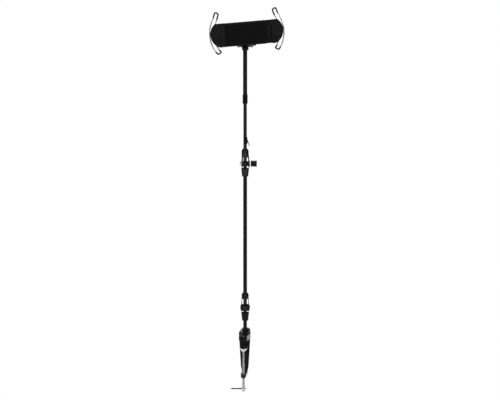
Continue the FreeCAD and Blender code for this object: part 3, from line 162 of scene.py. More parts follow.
class Tree:
    """A node tree that is filled by expressions."""

    def __init__(self, tree: bpy.types.NodeTree) -> None:
        """Takes over the tree and empties it."""
        self.tree = tree
        self.tree.nodes.clear()

    def node(self, kind: str, settings: dict | None = None, values: dict | None = None,
             output: int | str = 0) -> Link:
        """Adds one node.

        Args:
            kind: The node's type.
            settings: Its own properties, set first.
            values: Numbers, colours or links by input socket.
            output: The socket that is returned.

        Returns:
            The chosen output socket.
        """
        made = self.tree.nodes.new(kind)
        for key, value in (settings or {}).items():
            setattr(made, key, value)
        for key, value in (values or {}).items():
            self.feed(made.inputs[key], value)
        return Link(self, made.outputs[output])

    def feed(self, socket: bpy.types.NodeSocket, value: "Link | float | tuple") -> None:
        """Links a link to the socket, or sets a plain value on it."""
        if isinstance(value, Link):
            self.tree.links.new(value.socket, socket)
        elif socket.type == "RGBA":
            socket.default_value = (*value[:3], 1.0)
        else:
            socket.default_value = value


@dataclass(frozen=True)
class Patches:
    """Irregular patches of wear, dust or handling.

    They are noise with lumps of this size, 0 below starts and 1 above full.
    """

    size: float
    detail: float
    starts: float
    full: float
    stretch: Triple = EVEN


class Surface(Tree):
    """A material with one Principled shader."""

    BEVEL_SAMPLES = 6
    HOLLOW_SAMPLES = 8
    EDGE_LIMITS = (0.02, 0.22)
    OPEN_LIMITS = (0.45, 0.9)

    def __init__(self, name: str) -> None:
        """Makes the material, its shader and its output."""
        self.material = bpy.data.materials.new(name)
        self.material.use_nodes = True
        super().__init__(self.material.node_tree)
        self.shader = self.tree.nodes.new("ShaderNodeBsdfPrincipled")
        output = self.tree.nodes.new("ShaderNodeOutputMaterial")
        self.tree.links.new(self.shader.outputs["BSDF"], output.inputs["Surface"])

    def set(self, **values: "Link | float | tuple") -> None:
        """Feeds the shader's sockets, named with underscores for spaces."""
        for key, value in values.items():
            self.feed(self.shader.inputs[key.replace("_", " ")], value)

    def place(self, stretch: Triple = EVEN) -> Link:
        """Position on the piece in metres.

        Args:
            stretch: Factors on x, y and z. A small factor draws a pattern out along that axis.

        Returns:
            The position vector.
        """
        position = self.node("ShaderNodeTexCoord", output="Object")
        if stretch == EVEN:
            return position
        return self.node("ShaderNodeVectorMath", {"operation": "MULTIPLY"}, {0: position, 1: stretch})

    def noise(self, grain: float, detail: float, stretch: Triple = EVEN) -> Link:
        """Smooth noise from 0 to 1.

        Args:
            grain: Size of one lump in metres.
            detail: How many finer layers it has.
            stretch: Factors on x, y and z.

        Returns:
            The noise.
        """
        values = {"Vector": self.place(stretch), "Scale": 1 / grain, "Detail": detail}
        return self.node("ShaderNodeTexNoise", {}, values)

    def patches(self, kind: Patches) -> Link:
        """1 inside the patches and 0 between them."""
        return self.noise(kind.size, kind.detail, kind.stretch).between(kind.starts, kind.full)

    def cells(self, grain: float) -> Link:
        """Distance to the nearest of scattered points, for a leathery or spark-eroded grain."""
        values = {"Vector": self.place(), "Scale": 1 / grain}
        return self.node("ShaderNodeTexVoronoi", {"feature": "SMOOTH_F1"}, values)

    def mixed(self, share: Link, first: Link | Colour, second: Colour) -> Link:
        """Colour between first and second by share."""
        values = {MIX_SHARE: share, MIX_FIRST: first, MIX_SECOND: second}
        return self.node("ShaderNodeMix", {"data_type": "RGBA"}, values, output=MIX_RESULT)

    def rounded(self, radius: float) -> Link:
        """Normal that softens each edge by this radius."""
        return self.node("ShaderNodeBevel", {"samples": self.BEVEL_SAMPLES}, {"Radius": radius})

    def edges(self, radius: float) -> Link:
        """1 on sharp edges and 0 on open faces."""
        true_normal = self.node("ShaderNodeNewGeometry", output="Normal")
        vectors = {0: self.rounded(radius), 1: true_normal}
        facing = self.node("ShaderNodeVectorMath", {"operation": "DOT_PRODUCT"}, vectors, output="Value")
        return (1 - facing).between(*self.EDGE_LIMITS)

    def painted_shade_in_hollows(self, reach: float) -> Link:
        """Painted shade mask: 1 at the bottom of grooves and inner corners, where shade falls, 0 on open
        faces.
        """
        settings = {"samples": self.HOLLOW_SAMPLES}
        openness = self.node("ShaderNodeAmbientOcclusion", settings, {"Distance": reach}, output="AO")
        return 1 - openness.between(*self.OPEN_LIMITS)

    def relief(self, height: Link, depth: float, normal: Link) -> Link:
        """Normal of a fine relief.

        Args:
            height: The relief from 0 to 1.
            depth: Its depth in metres.
            normal: The normal that it starts from.

        Returns:
            The bumped normal.
        """
        values = {"Height": height, "Distance": depth, "Strength": 1.0, "Normal": normal}
        return self.node("ShaderNodeBump", {}, values)


# Finishes


def grey(level: float) -> Colour:
    """Neutral grey of this level."""
    return (level, level, level)


@dataclass(frozen=True)
class Finish:
    """What every finish has."""

    name: str
    colour: Colour
    roughness: float

    def material(self) -> bpy.types.Material:
        """The finish's material, made once."""
        found = bpy.data.materials.get(self.name)
        return found if found is not None else self.made()

    def made(self) -> bpy.types.Material:
        """Builds the material."""
        raise NotImplementedError


@dataclass(frozen=True)
class BlackPaint(Finish):
    """Baked paint on a casting: a fine orange peel, soft edges that shine a little, a clear top layer."""

    peel: float = 1.1 * MM
    peel_detail: float = 2.0
    peel_depth: float = 0.01 * MM
    edge: float = 0.35 * MM
    edge_colour: Colour = (0.014, 0.014, 0.013)
    edge_wear: float = 0.25
    edge_polish: float = 0.06
    scuffs: Patches = Patches(6 * MM, 4.0, 0.45, 0.8)
    scuff_wear: float = 0.5
    scuff_roughness: float = 0.07
    top_layer: float = 0.0
    top_roughness: float = 0.12
    gloss: float = 0.3

    def made(self) -> bpy.types.Material:
        """Builds the paint."""
        surface = Surface(self.name)
        edges = surface.edges(self.edge)
        scuffs = surface.patches(self.scuffs)
        peel = surface.noise(self.peel, self.peel_detail)
        wear = edges * (self.edge_wear + self.scuff_wear * scuffs)
        surface.set(Base_Color=surface.mixed(wear, self.colour, self.edge_colour),
                    Roughness=self.roughness + self.scuff_roughness * scuffs - self.edge_polish * edges,
                    Normal=surface.relief(peel, self.peel_depth, surface.rounded(self.edge)),
                    Coat_Weight=self.top_layer, Coat_Roughness=self.top_roughness,
                    Specular_IOR_Level=self.gloss)
        return surface.material


@dataclass(frozen=True)
class DrawnTube(Finish):
    """Painted steel tube: faint lines along it and a little uneven gloss."""

    line: float = 0.25 * MM
    line_detail: float = 2.0
    line_stretch: Triple = (1.0, 1.0, 0.012)
    line_depth: float = 0.002 * MM
    line_roughness: float = 0.03
    cloud: float = 14 * MM
    cloud_detail: float = 3.0
    cloud_middle: float = 0.5
    cloud_roughness: float = 0.08
    wear: Patches = Patches(3 * MM, 4.0, 0.6, 0.85, (1.0, 1.0, 0.2))
    wear_share: float = 0.3
    worn_colour: Colour = grey(0.008)
    edge: float = 0.15 * MM
    gloss: float = 0.35

    def made(self) -> bpy.types.Material:
        """Builds the tube's paint."""
        surface = Surface(self.name)
        lines = surface.noise(self.line, self.line_detail, self.line_stretch)
        clouds = surface.noise(self.cloud, self.cloud_detail) - self.cloud_middle
        worn = surface.patches(self.wear)
        roughness = self.roughness + self.cloud_roughness * clouds + self.line_roughness * lines
        surface.set(Base_Color=surface.mixed(self.wear_share * worn, self.colour, self.worn_colour),
                    Roughness=roughness,
                    Normal=surface.relief(lines, self.line_depth, surface.rounded(self.edge)),
                    Specular_IOR_Level=self.gloss)
        return surface.material


@dataclass(frozen=True)
class BareMetal(Finish):
    """Plated or turned metal: a fine grain that can be drawn out along one axis, and duller spots."""

    grain: float = 0.2 * MM
    grain_detail: float = 3.0
    grain_middle: float = 0.5
    grain_depth: float = 0.004 * MM
    grain_roughness: float = 0.06
    stretch: Triple = EVEN
    spots: Patches = Patches(4 * MM, 4.0, 0.5, 0.8)
    dulling: float = 0.1
    tint_for_dulling: float = 2.0
    dull_colour: Colour = (0.4, 0.4, 0.39)
    edge: float = 0.12 * MM

    def made(self) -> bpy.types.Material:
        """Builds the metal."""
        surface = Surface(self.name)
        grain = surface.noise(self.grain, self.grain_detail, self.stretch)
        spots = surface.patches(self.spots)
        tint = self.dulling * self.tint_for_dulling * spots
        uneven = self.grain_roughness * (grain - self.grain_middle)
        surface.set(Base_Color=surface.mixed(tint, self.colour, self.dull_colour),
                    Metallic=1.0, Roughness=self.roughness + self.dulling * spots + uneven,
                    Normal=surface.relief(grain, self.grain_depth, surface.rounded(self.edge)))
        return surface.material


@dataclass(frozen=True)
class MouldedPlastic(Finish):
    """Moulded plastic: a spark-eroded grain, edges polished a little by handling and painted lighter, partly
    handling wear and partly a painted highlight, and painted shade darkening the grooves.
    """

    grain: float = 0.45 * MM
    grain_depth: float = 0.02 * MM
    fine_size: float = 0.3
    fine_share: float = 0.5
    fine_detail: float = 2.0
    edge: float = 0.3 * MM
    # Lighter edge colour: partly handling wear, partly a painted highlight along edges and ribs
    edge_colour: Colour = grey(0.03)
    edge_share: float = 0.35
    edge_polish: float = 0.12
    handling: Patches = Patches(18 * MM, 3.0, 0.4, 0.75)
    handled_share: float = 0.06
    handled_polish: float = 0.08
    # Painted shade in grooves and inner corners: how far it looks, its colour and its share
    painted_shade_reach: float = 2.0 * MM
    painted_shade_colour: Colour = grey(0.001)
    painted_shade_share: float = 0.7
    gloss: float = 0.35

    def made(self) -> bpy.types.Material:
        """Builds the plastic."""
        surface = Surface(self.name)
        edges = surface.edges(self.edge)
        fine = surface.noise(self.fine_size * self.grain, self.fine_detail)
        grain = surface.cells(self.grain) + self.fine_share * fine
        handled = surface.patches(self.handling)
        # Handled patches and edges painted lighter: handling wear, and on the edges also a painted highlight
        rub_and_highlight = self.edge_share * edges + self.handled_share * handled
        rubbed_and_highlit = surface.mixed(rub_and_highlight, self.colour, self.edge_colour)
        # Painted shade: grooves and inner corners are darkened by ambient occlusion
        depth = self.painted_shade_share * surface.painted_shade_in_hollows(self.painted_shade_reach)
        surface.set(Base_Color=surface.mixed(depth, rubbed_and_highlit, self.painted_shade_colour),
                    Roughness=self.roughness - self.handled_polish * handled - self.edge_polish * edges,
                    Normal=surface.relief(grain, self.grain_depth, surface.rounded(self.edge)),
                    Specular_IOR_Level=self.gloss)
        return surface.material


@dataclass(frozen=True)
class Rubber(Finish):
    """Matt rubber with a fine pebble and a dusty bloom."""

    pebble: float = 0.5 * MM
    pebble_depth: float = 0.02 * MM
    edge: float = 0.25 * MM
    bloom: Patches = Patches(5 * MM, 4.0, 0.45, 0.8)
    bloom_share: float = 0.5
    bloom_roughness: float = 0.08
    bloom_colour: Colour = (0.06, 0.06, 0.058)
    gloss: float = 0.3

    def made(self) -> bpy.types.Material:
        """Builds the rubber."""
        surface = Surface(self.name)
        bloom = surface.patches(self.bloom)
        pebble = surface.cells(self.pebble)
        surface.set(Base_Color=surface.mixed(self.bloom_share * bloom, self.colour, self.bloom_colour),
                    Roughness=self.roughness + self.bloom_roughness * bloom,
                    Normal=surface.relief(pebble, self.pebble_depth, surface.rounded(self.edge)),
                    Specular_IOR_Level=self.gloss)
        return surface.material


CLAMP_PAINT = BlackPaint("clamp_paint", (0.0025, 0.0025, 0.002), 0.22, peel=1.6 * MM, top_layer=0.3)
ARM_PAINT = BlackPaint("arm_paint", grey(0.0022), 0.3)
BRACKET_PAINT = BlackPaint("bracket_paint", grey(0.002), 0.42, gloss=0.2)
TUBE_PAINT = DrawnTube("tube_paint", grey(0.0022), 0.28)
INNER_TUBE_PAINT = DrawnTube("inner_tube_paint", grey(0.008), 0.3, worn_colour=grey(0.016))
CHROME = BareMetal("claw_chrome", grey(0.92), 0.3, dulling=0.03, grain_depth=0.001 * MM)
ZINC = BareMetal("zinc_plate", (0.68, 0.68, 0.65), 0.38, stretch=(1.0, 1.0, 4.0),
                 dull_colour=(0.5, 0.5, 0.47))
BAR_STEEL = BareMetal("bar_steel", grey(0.012), 0.36, stretch=(4.0, 1.0, 1.0), dull_colour=grey(0.02))
BRIGHT_STEEL = BareMetal("bright_steel", (0.82, 0.82, 0.81), 0.24, dulling=0.05)
BLACK_STEEL = BareMetal("black_steel", (0.03, 0.03, 0.032), 0.34, dull_colour=(0.05, 0.047, 0.043))
HOUSING_PLASTIC = MouldedPlastic("housing_plastic", grey(0.0055), 0.6, edge_colour=grey(0.012), gloss=0.02)
# The caps' light edge colour is partly a painted highlight along their ribs, and their grooves get painted
# shade
CAP_PLASTIC = MouldedPlastic("cap_plastic", (0.01, 0.01, 0.0086), 0.62, grain=0.6 * MM,
                             grain_depth=0.03 * MM, edge=0.7 * MM, edge_colour=(0.06, 0.06, 0.054),
                             gloss=0.03)
KNOB_PLASTIC = MouldedPlastic("knob_plastic", grey(0.0022), 0.42, grain=0.35 * MM,
                              edge_colour=grey(0.009), gloss=0.2)
NYLON = MouldedPlastic("washer_nylon", (0.5, 0.49, 0.45), 0.45, edge_colour=(0.6, 0.59, 0.55))
DARK_NYLON = MouldedPlastic("bush_nylon", grey(0.004), 0.45, edge_colour=grey(0.01), gloss=0.2)
PAD_RUBBER = Rubber("pad_rubber", grey(0.008), 0.78)
SLEEVE_RUBBER = Rubber("sleeve_rubber", grey(0.014), 0.5, pebble=0.3 * MM)


# Meshes


def circle(radius: float, corners: int) -> Outline:
    """Evenly spaced points that go once round a circle, the corners of a regular polygon."""
    angles = [FULL_TURN * step / corners for step in range(corners)]
    return [(radius * math.cos(angle), radius * math.sin(angle)) for angle in angles]


def frame_along(axis: Axis, start: Vector) -> Matrix:
    """Placement whose z runs along the axis from start."""
    turn = Vector((0, 0, 1)).rotation_difference(axis.vector)
    return Matrix.Translation(start) @ turn.to_matrix().to_4x4()


def lathe(mesh: bmesh.types.BMesh, profile: Outline, placement: Matrix, segments: int = 48) -> None:
    """Adds a turned solid.

    Args:
        mesh: The mesh that it is added to.
        profile: (radius, height) corners from one end of the axis to the other.
        placement: Where its axis lies.
        segments: Faces round the axis.
    """
    rings = []
    for radius, height in profile:
        if radius == 0:
            pole = mesh.verts.new(placement @ Vector((0, 0, height)))
            rings.append([pole] * segments)
            continue
        spots = [Vector((x, y, height)) for x, y in circle(radius, segments)]
        rings.append([mesh.verts.new(placement @ spot) for spot in spots])
    for low, high in zip(rings, rings[1:]):
        for step in range(segments):
            after = (step + 1) % segments
            corners = list(dict.fromkeys([low[step], low[after], high[after], high[step]]))
            if len(corners) > 2:
                mesh.faces.new(corners)


def sweep(mesh: bmesh.types.BMesh, path: list[Vector], radius: float, sides: int) -> None:
    """Adds a round wire along a path, closed at both ends."""
    last = len(path) - 1
    across = (path[1] - path[0]).orthogonal()
    rings = []
    for index, point in enumerate(path):
        ahead = path[min(index + 1, last)] - path[max(index - 1, 0)]
        across = (across - across.project(ahead)).normalized()
        other = ahead.normalized().cross(across)
        spots = [point + radius * (x * across + y * other) for x, y in circle(1.0, sides)]
        rings.append([mesh.verts.new(spot) for spot in spots])
    for low, high in zip(rings, rings[1:]):
        for step in range(sides):
            after = (step + 1) % sides
            mesh.faces.new([low[step], low[after], high[after], high[step]])
    mesh.faces.new(reversed(rings[0]))
    mesh.faces.new(rings[-1])


def thread(mesh: bmesh.types.BMesh, crest: float, root: float, pitch: float, turns: int, placement: Matrix,
           segments: int = 28) -> None:
    """Adds a right-handed screw thread with flat crests and roots.

    Args:
        mesh: The mesh that it is added to.
        crest: Outer radius.
        root: Core radius.
        pitch: Height of one turn.
        turns: Whole turns.
        placement: Where its axis starts.
        segments: Steps in one turn.
    """
    # Radius of each corner of the thread's section, and its height as a share of the pitch
    section = [(root, 0.0), (crest, 0.36), (crest, 0.56), (root, 0.9)]
    steps = turns * segments
    lines = []
    for radius, share in section:
        line = []
        for step in range(steps + 1):
            angle = FULL_TURN * step / segments
            height = pitch * (step / segments + share)
            spot = Vector((radius * math.cos(angle), radius * math.sin(angle), height))
            line.append(mesh.verts.new(placement @ spot))
        lines.append(line)
    for near, far in zip(lines, lines[1:]):
        for step in range(steps):
            mesh.faces.new([near[step], near[step + 1], far[step + 1], far[step]])
    first = lines[0]
    last = lines[-1]
    for step in range(steps - segments):
        above = step + segments
        mesh.faces.new([last[step], last[step + 1], first[above + 1], first[above]])
    foot_rim = first[:segments + 1] + [line[0] for line in reversed(lines[1:])]
    head_rim = last[steps - segments:] + [line[steps] for line in reversed(lines[:-1])]
    for rim, turn in ((foot_rim, first[:segments]), (head_rim, last[steps - segments:steps])):
        middle = sum((corner.co for corner in turn), Vector()) / segments
        centre = mesh.verts.new(middle)
        for here, after in zip(rim, rim[1:] + rim[:1]):
            mesh.faces.new([here, after, centre])


def prism_cutter(outline: Outline, depth: float, placement: Matrix, draft: float = 1.0) -> bmesh.types.BMesh:
    """Prism that is cut into a piece.

    Args:
        outline: (x, y) corners.
        depth: How deep it goes. It starts as far outside the piece.
        placement: Where it goes in.
        draft: Size of its foot against its mouth.

    Returns:
        The cutter's mesh.
    """
    mesh = bmesh.new()
    mouth = [mesh.verts.new(placement @ Vector((x, y, -depth))) for x, y in outline]
    foot = [mesh.verts.new(placement @ Vector((x * draft, y * draft, depth))) for x, y in outline]
    mesh.faces.new(reversed(mouth))
    mesh.faces.new(foot)
    count = len(outline)
    for step in range(count):
        after = (step + 1) % count
        mesh.faces.new([mouth[step], mouth[after], foot[after], foot[step]])
    return mesh


def cross_outline(reach: float, width: float) -> Outline:
    """Corners of a plus sign."""
    half = width / 2
    arm = [(reach, -half), (reach, half), (half, half)]
    return [(x * cosine - y * sine, x * sine + y * cosine)
            for cosine, sine in circle(1.0, 4) for x, y in arm]


def smooth(mesh: bmesh.types.BMesh, angle: float) -> None:
    """Smooths all faces and keeps the edges sharp that bend more than this angle in degrees."""
    for face in mesh.faces:
        face.smooth = True
    for edge in mesh.edges:
        edge.smooth = len(edge.link_faces) == 2 and edge.calc_face_angle() < math.radians(angle)


def as_object(name: str, mesh: bmesh.types.BMesh, smooth_angle: float = SMOOTH_ANGLE) -> bpy.types.Object:
    """Turns a mesh into a scene object with smooth faces and sharp edges.

    Args:
        name: The object's name.
        mesh: The mesh, which is freed.
        smooth_angle: Edges that bend more than this stay sharp, in degrees.

    Returns:
        The object.
    """
    bmesh.ops.recalc_face_normals(mesh, faces=mesh.faces)
    smooth(mesh, smooth_angle)
    data = bpy.data.meshes.new(name)
    mesh.to_mesh(data)
    mesh.free()
    made = bpy.data.objects.new(name, data)
    bpy.context.scene.collection.objects.link(made)
    return made


def carved(blank: bpy.types.Object, cutters: list[bmesh.types.BMesh]) -> bpy.types.Object:
    """Cuts each cutter out of the blank and applies the result to its mesh."""
    tools = []
    for index, cutter in enumerate(cutters):
        tool = as_object(f"{blank.name}_cutter_{index}", cutter)
        cut = blank.modifiers.new(f"cut_{index}", "BOOLEAN")
        cut.operation = "DIFFERENCE"
        cut.solver = "EXACT"
        cut.object = tool
        tools.append(tool)
    graph = bpy.context.evaluated_depsgraph_get()
    data = bpy.data.meshes.new_from_object(blank.evaluated_get(graph))
    blank.modifiers.clear()
    blank.data = data
    for tool in tools:
        bpy.data.objects.remove(tool)
    shape = bmesh.new()
    shape.from_mesh(data)
    smooth(shape, SMOOTH_ANGLE)
    shape.to_mesh(data)
    shape.free()
    return blank


@dataclass(frozen=True)
class DrivenScrew:
    """A round-headed screw with a driver's recess.

    Its head's face is at z = 0 and its shank runs along +z. The face has inner rings of
    vertices, at these shares of its radius.
    """

    head_radius: float
    head_height: float
    shank_radius: float
    length: float
    recess: Recess
    recess_reach: float
    recess_depth: float
    head_chamfer: float = 0.3 * MM
    head_chamfer_share: float = 0.3
    tip_chamfer: float = 0.5 * MM
    face_rings: tuple[float, float] = (0.5, 0.8)
    cross_width_share: float = 0.34
    cross_draft: float = 0.55

    def blank(self, mesh: bmesh.types.BMesh, placement: Matrix) -> None:
        """Adds the screw without its recess."""
        chamfer = min(self.head_chamfer, self.head_chamfer_share * self.head_height)
        face = [(share * self.head_radius, 0.0) for share in self.face_rings]
        profile = [(0.0, 0.0), *face,
                   (self.head_radius - chamfer, 0.0),
                   (self.head_radius, chamfer),
                   (self.head_radius, self.head_height),
                   (self.shank_radius, self.head_height),
                   (self.shank_radius, self.length - self.tip_chamfer),
                   (self.shank_radius - self.tip_chamfer, self.length),
                   (0.0, self.length)]
        lathe(mesh, profile, placement)

    def cutter(self, placement: Matrix) -> bmesh.types.BMesh:
        """The recess's cutter."""
        if self.recess is Recess.CROSS:
            outline = cross_outline(self.recess_reach, self.cross_width_share * self.recess_reach)
            return prism_cutter(outline, self.recess_depth, placement, self.cross_draft)
        return prism_cutter(circle(self.recess_reach, HEXAGON_SIDES), self.recess_depth, placement)

    def group(self, name: str, placements: list[Matrix]) -> bpy.types.Object:
        """Several such screws as one piece."""
        mesh = bmesh.new()
        for placement in placements:
            self.blank(mesh, placement)
        return carved(as_object(name, mesh), [self.cutter(placement) for placement in placements])


# Sub-assemblies


@dataclass
class SubAssembly:
    """Pieces that are dressed and reported together."""

    frame: dict
    finishes: ClassVar[dict[str, Finish]] = {}

    def build(self) -> None:
        """Dresses the pieces that stay as the CAD made them."""
        for node, finish in self.finishes.items():
            self.dress(node, finish)

    def dress(self, node: str, finish: Finish) -> None:
        """Gives a CAD node a finish."""
        mesh = self.frame["nodes"][node]
        mesh.material_slots[0].material = finish.material()
        log.info("%s is finished in %s", node, finish.name)

    def place(self, piece: bpy.types.Object, body: str, slot: str, finish: Finish, stands_for: str) -> None:
        """Puts a new piece on its body in place of a CAD node.

        Args:
            piece: The piece, already where it belongs.
            body: The body that it rides on.
            slot: The record's material slot. Not used.
            finish: Its finish.
            stands_for: The CAD node that it replaces.
        """
        piece.data.materials.clear()
        piece.data.materials.append(finish.material())
        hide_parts(stands_for)
        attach(piece, body)
        log.info("%s replaces %s on %s", piece.name, stands_for, body)

    def fasten(self, piece: bpy.types.Object, body: str, stands_for: str) -> None:
        """Puts black screws on their body in place of a CAD node."""
        self.place(piece, body, "black_steel", BLACK_STEEL, stands_for)


@dataclass
class DeskClamp(SubAssembly):
    """The casting, its pad and the bush for the post."""

    finishes: ClassVar[dict[str, Finish]] = {
        "clamp_body": CLAMP_PAINT,
        "upper_jaw_pad": PAD_RUBBER,
        "socket_bush": DARK_NYLON,
    }


@dataclass
class PressureScrew(SubAssembly):
    """The clamp's spindle with its dish and sliding cross bar."""

    finishes: ClassVar[dict[str, Finish]] = {
        "pressure_dish": BRIGHT_STEEL,
        "dish_disc": PAD_RUBBER,
        "cross_bar": BAR_STEEL,
        "cross_bar_stops": BRIGHT_STEEL,
    }
    shank_top: float = -26.0 * MM
    shank_length: float = 91.0 * MM
    crest: float = 3.0 * MM
    root: float = 2.25 * MM
    pitch: float = 1.5 * MM
    thread_lift: float = 0.05 * MM
    collar_length: float = 0.9 * MM
    collar_chamfer: float = 0.25 * MM
    pin_radius: float = 2.2 * MM
    pin_length: float = 4.9 * MM
    pin_sunk: float = 1.2 * MM
    pin_chamfer: float = 0.4 * MM
    head_radius: float = 4.1 * MM
    head_length: float = 13.0 * MM
    head_lap: float = 0.2 * MM
    head_lap_inset: float = 1.3 * MM
    head_top_chamfer: float = 0.8 * MM
    head_foot_round: float = 1.2 * MM
    head_bend_inset: float = 0.35 * MM
    head_bend_height: float = 0.4 * MM
    bar_hole_radius: float = 1.55 * MM
    bar_height: float = -122.2 * MM
    pin_segments: int = 40
    head_segments: int = 56
    hole_segments: int = 32

    def build(self) -> None:
        """Builds the threaded spindle and dresses the rest."""
        self.place(self.spindle(), "screw", "steel", ZINC, "clamp_screw")
        super().build()

    def spindle(self) -> bpy.types.Object:
        """Pin, thread and bored head in one piece.

        Returns:
            The spindle at its place.
        """
        head = self.bored_head()
        mesh = bmesh.new()
        mesh.from_mesh(head.data)
        bpy.data.objects.remove(head)
        lathe(mesh, self.pin_profile(), Matrix.Identity(4), self.pin_segments)
        turns = round(self.shank_length / self.pitch) - 1
        start = Vector((0, 0, self.shank_top - self.shank_length + self.thread_lift))
        thread(mesh, self.crest, self.root, self.pitch, turns, Matrix.Translation(start))
        lathe(mesh, self.collar_profile(), Matrix.Identity(4), self.pin_segments)
        return as_object("clamp_spindle", mesh)

    def bored_head(self) -> bpy.types.Object:
        """The head below the thread, with the hole that the cross bar slides in."""
        top = self.shank_top - self.shank_length
        foot = top - self.head_length
        radius = self.head_radius
        profile = [(0.0, top + self.head_lap),
                   (radius - self.head_lap_inset, top + self.head_lap),
                   (radius - self.head_top_chamfer, top),
                   (radius, top - self.head_top_chamfer),
                   (radius, foot + self.head_foot_round),
                   (radius - self.head_bend_inset, foot + self.head_bend_height),
                   (radius - self.head_foot_round, foot),
                   (0.0, foot)]
        head = bmesh.new()
        lathe(head, profile, Matrix.Identity(4), self.head_segments)
        hole = circle(self.bar_hole_radius, self.hole_segments)
        across = frame_along(Axis.RIGHT, Vector((0, 0, self.bar_height)))
        return carved(as_object("clamp_spindle", head), [prism_cutter(hole, 2 * radius, across)])

    def pin_profile(self) -> Outline:
        """Corners of the pin that the dish turns on."""
        start = self.shank_top - self.pin_sunk
        end = self.shank_top + self.pin_length
        return [(0.0, start), (self.pin_radius, start), (self.pin_radius, end - self.pin_chamfer),
                (self.pin_radius - self.pin_chamfer, end), (0.0, end)]

    def collar_profile(self) -> Outline:
        """Corners of the plain collar above the thread."""
        start = self.shank_top - self.collar_length
        end = self.shank_top
        return [(0.0, start), (self.crest, start), (self.crest, end - self.collar_chamfer),
                (self.crest - self.collar_chamfer, end), (0.0, end)]


@dataclass
class SwivelPost(SubAssembly):
    """The post that turns in the clamp, with the lower elbow's tongue."""

    finishes: ClassVar[dict[str, Finish]] = {
        "swivel_post": TUBE_PAINT,
        "lower_elbow_tongue": ARM_PAINT,
    }


@dataclass
class Arm(SubAssembly):
    """Both elbows, the tubes, the lock collar and the cable clip."""

    finishes: ClassVar[dict[str, Finish]] = {
        "lower_elbow_fork": ARM_PAINT,
        "lower_elbow_bolt": BLACK_STEEL,
        "lower_elbow_nut": BLACK_STEEL,
        "lower_elbow_caps": ARM_PAINT,
        "lower_elbow_washers": DARK_NYLON,
        "lower_tube": TUBE_PAINT,
        "middle_elbow_tongue": ARM_PAINT,
        "middle_elbow_fork": ARM_PAINT,
        "middle_elbow_bolt": BRIGHT_STEEL,
        "middle_elbow_washers": DARK_NYLON,
        "middle_elbow_cap": BRIGHT_STEEL,
        "knob_washer": BRIGHT_STEEL,
        "knob_insert": BRIGHT_STEEL,
        "middle_elbow_knob": KNOB_PLASTIC,
        "inner_tube": INNER_TUBE_PAINT,
        "guide_plug": DARK_NYLON,
        "cable_clip": KNOB_PLASTIC,
        "outer_tube": TUBE_PAINT,
        "lock_collet": NYLON,
        "lock_collar": KNOB_PLASTIC,
    }


@dataclass
class TiltHead(SubAssembly):
    """The barrel on the outer tube, the bracket, its bolt and its thumb nut."""

    finishes: ClassVar[dict[str, Finish]] = {
        "tube_head": ARM_PAINT,
        "tilt_washers": DARK_NYLON,
        "tilt_bracket": BRACKET_PAINT,
        "tilt_nut": KNOB_PLASTIC,
        "swivel_nut": BRIGHT_STEEL,
        "swivel_washer": DARK_NYLON,
    }
    tilt_bolt: ClassVar[DrivenScrew] = DrivenScrew(
        head_radius=5.2 * MM, head_height=3.2 * MM, shank_radius=2.98 * MM, length=51.3 * MM,
        recess=Recess.HEXAGON, recess_reach=2.0 * MM, recess_depth=1.8 * MM)
    swivel_screw: ClassVar[DrivenScrew] = DrivenScrew(
        head_radius=5.5 * MM, head_height=3.0 * MM, shank_radius=2.98 * MM, length=17.1 * MM,
        recess=Recess.HEXAGON, recess_reach=2.3 * MM, recess_depth=1.7 * MM)
    axis_x: float = 4.022 * MM
    axis_y: float = 32.754 * MM
    tilt_height: float = 768.5 * MM
    swivel_height: float = 786.7 * MM
    bracket_half_width: float = 21.0 * MM
    plate_back: float = 27.0 * MM
    set_screw_height: float = 753.5 * MM
    set_screw_face: float = 9.4 * MM
    set_screw_length: float = 3.9 * MM
    set_screw_radius: float = 1.95 * MM
    set_screw_face_radius: float = 1.6 * MM
    set_screw_chamfer: float = 0.35 * MM
    set_screw_segments: int = 32
    socket_radius: float = 1.0 * MM
    socket_depth: float = 1.2 * MM

    def build(self) -> None:
        """Dresses the CAD pieces and builds the driven screws."""
        super().build()
        left = self.axis_x - self.bracket_half_width - self.tilt_bolt.head_height
        bolt_place = frame_along(Axis.RIGHT, Vector((left, self.axis_y, self.tilt_height)))
        self.fasten(self.tilt_bolt.group("tilt_pivot_bolt", [bolt_place]), "bracket", "tilt_bolt")
        back = self.axis_y - self.plate_back + self.swivel_screw.head_height
        screw_place = frame_along(Axis.FRONT, Vector((self.axis_x, back, self.swivel_height)))
        self.fasten(self.swivel_screw.group("swivel_pivot_screw", [screw_place]), "bracket", "swivel_screw")
        self.fasten(self.grub_screw(), "extension", "head_set_screw")

    def grub_screw(self) -> bpy.types.Object:
        """Small headless screw that holds the head on the tube.

        Returns:
            The screw at its place, with its socket to the right.
        """
        face = Vector((self.axis_x + self.set_screw_face, self.axis_y, self.set_screw_height))
        placement = frame_along(Axis.RIGHT, face)
        profile = [(0.0, -self.set_screw_length),
                   (self.set_screw_radius, -self.set_screw_length),
                   (self.set_screw_radius, -self.set_screw_chamfer),
                   (self.set_screw_face_radius, 0.0),
                   (0.0, 0.0)]
        mesh = bmesh.new()
        lathe(mesh, profile, placement, self.set_screw_segments)
        socket = circle(self.socket_radius, HEXAGON_SIDES)
        cutter = prism_cutter(socket, self.socket_depth, placement)
        return carved(as_object("head_grub_screw", mesh), [cutter])


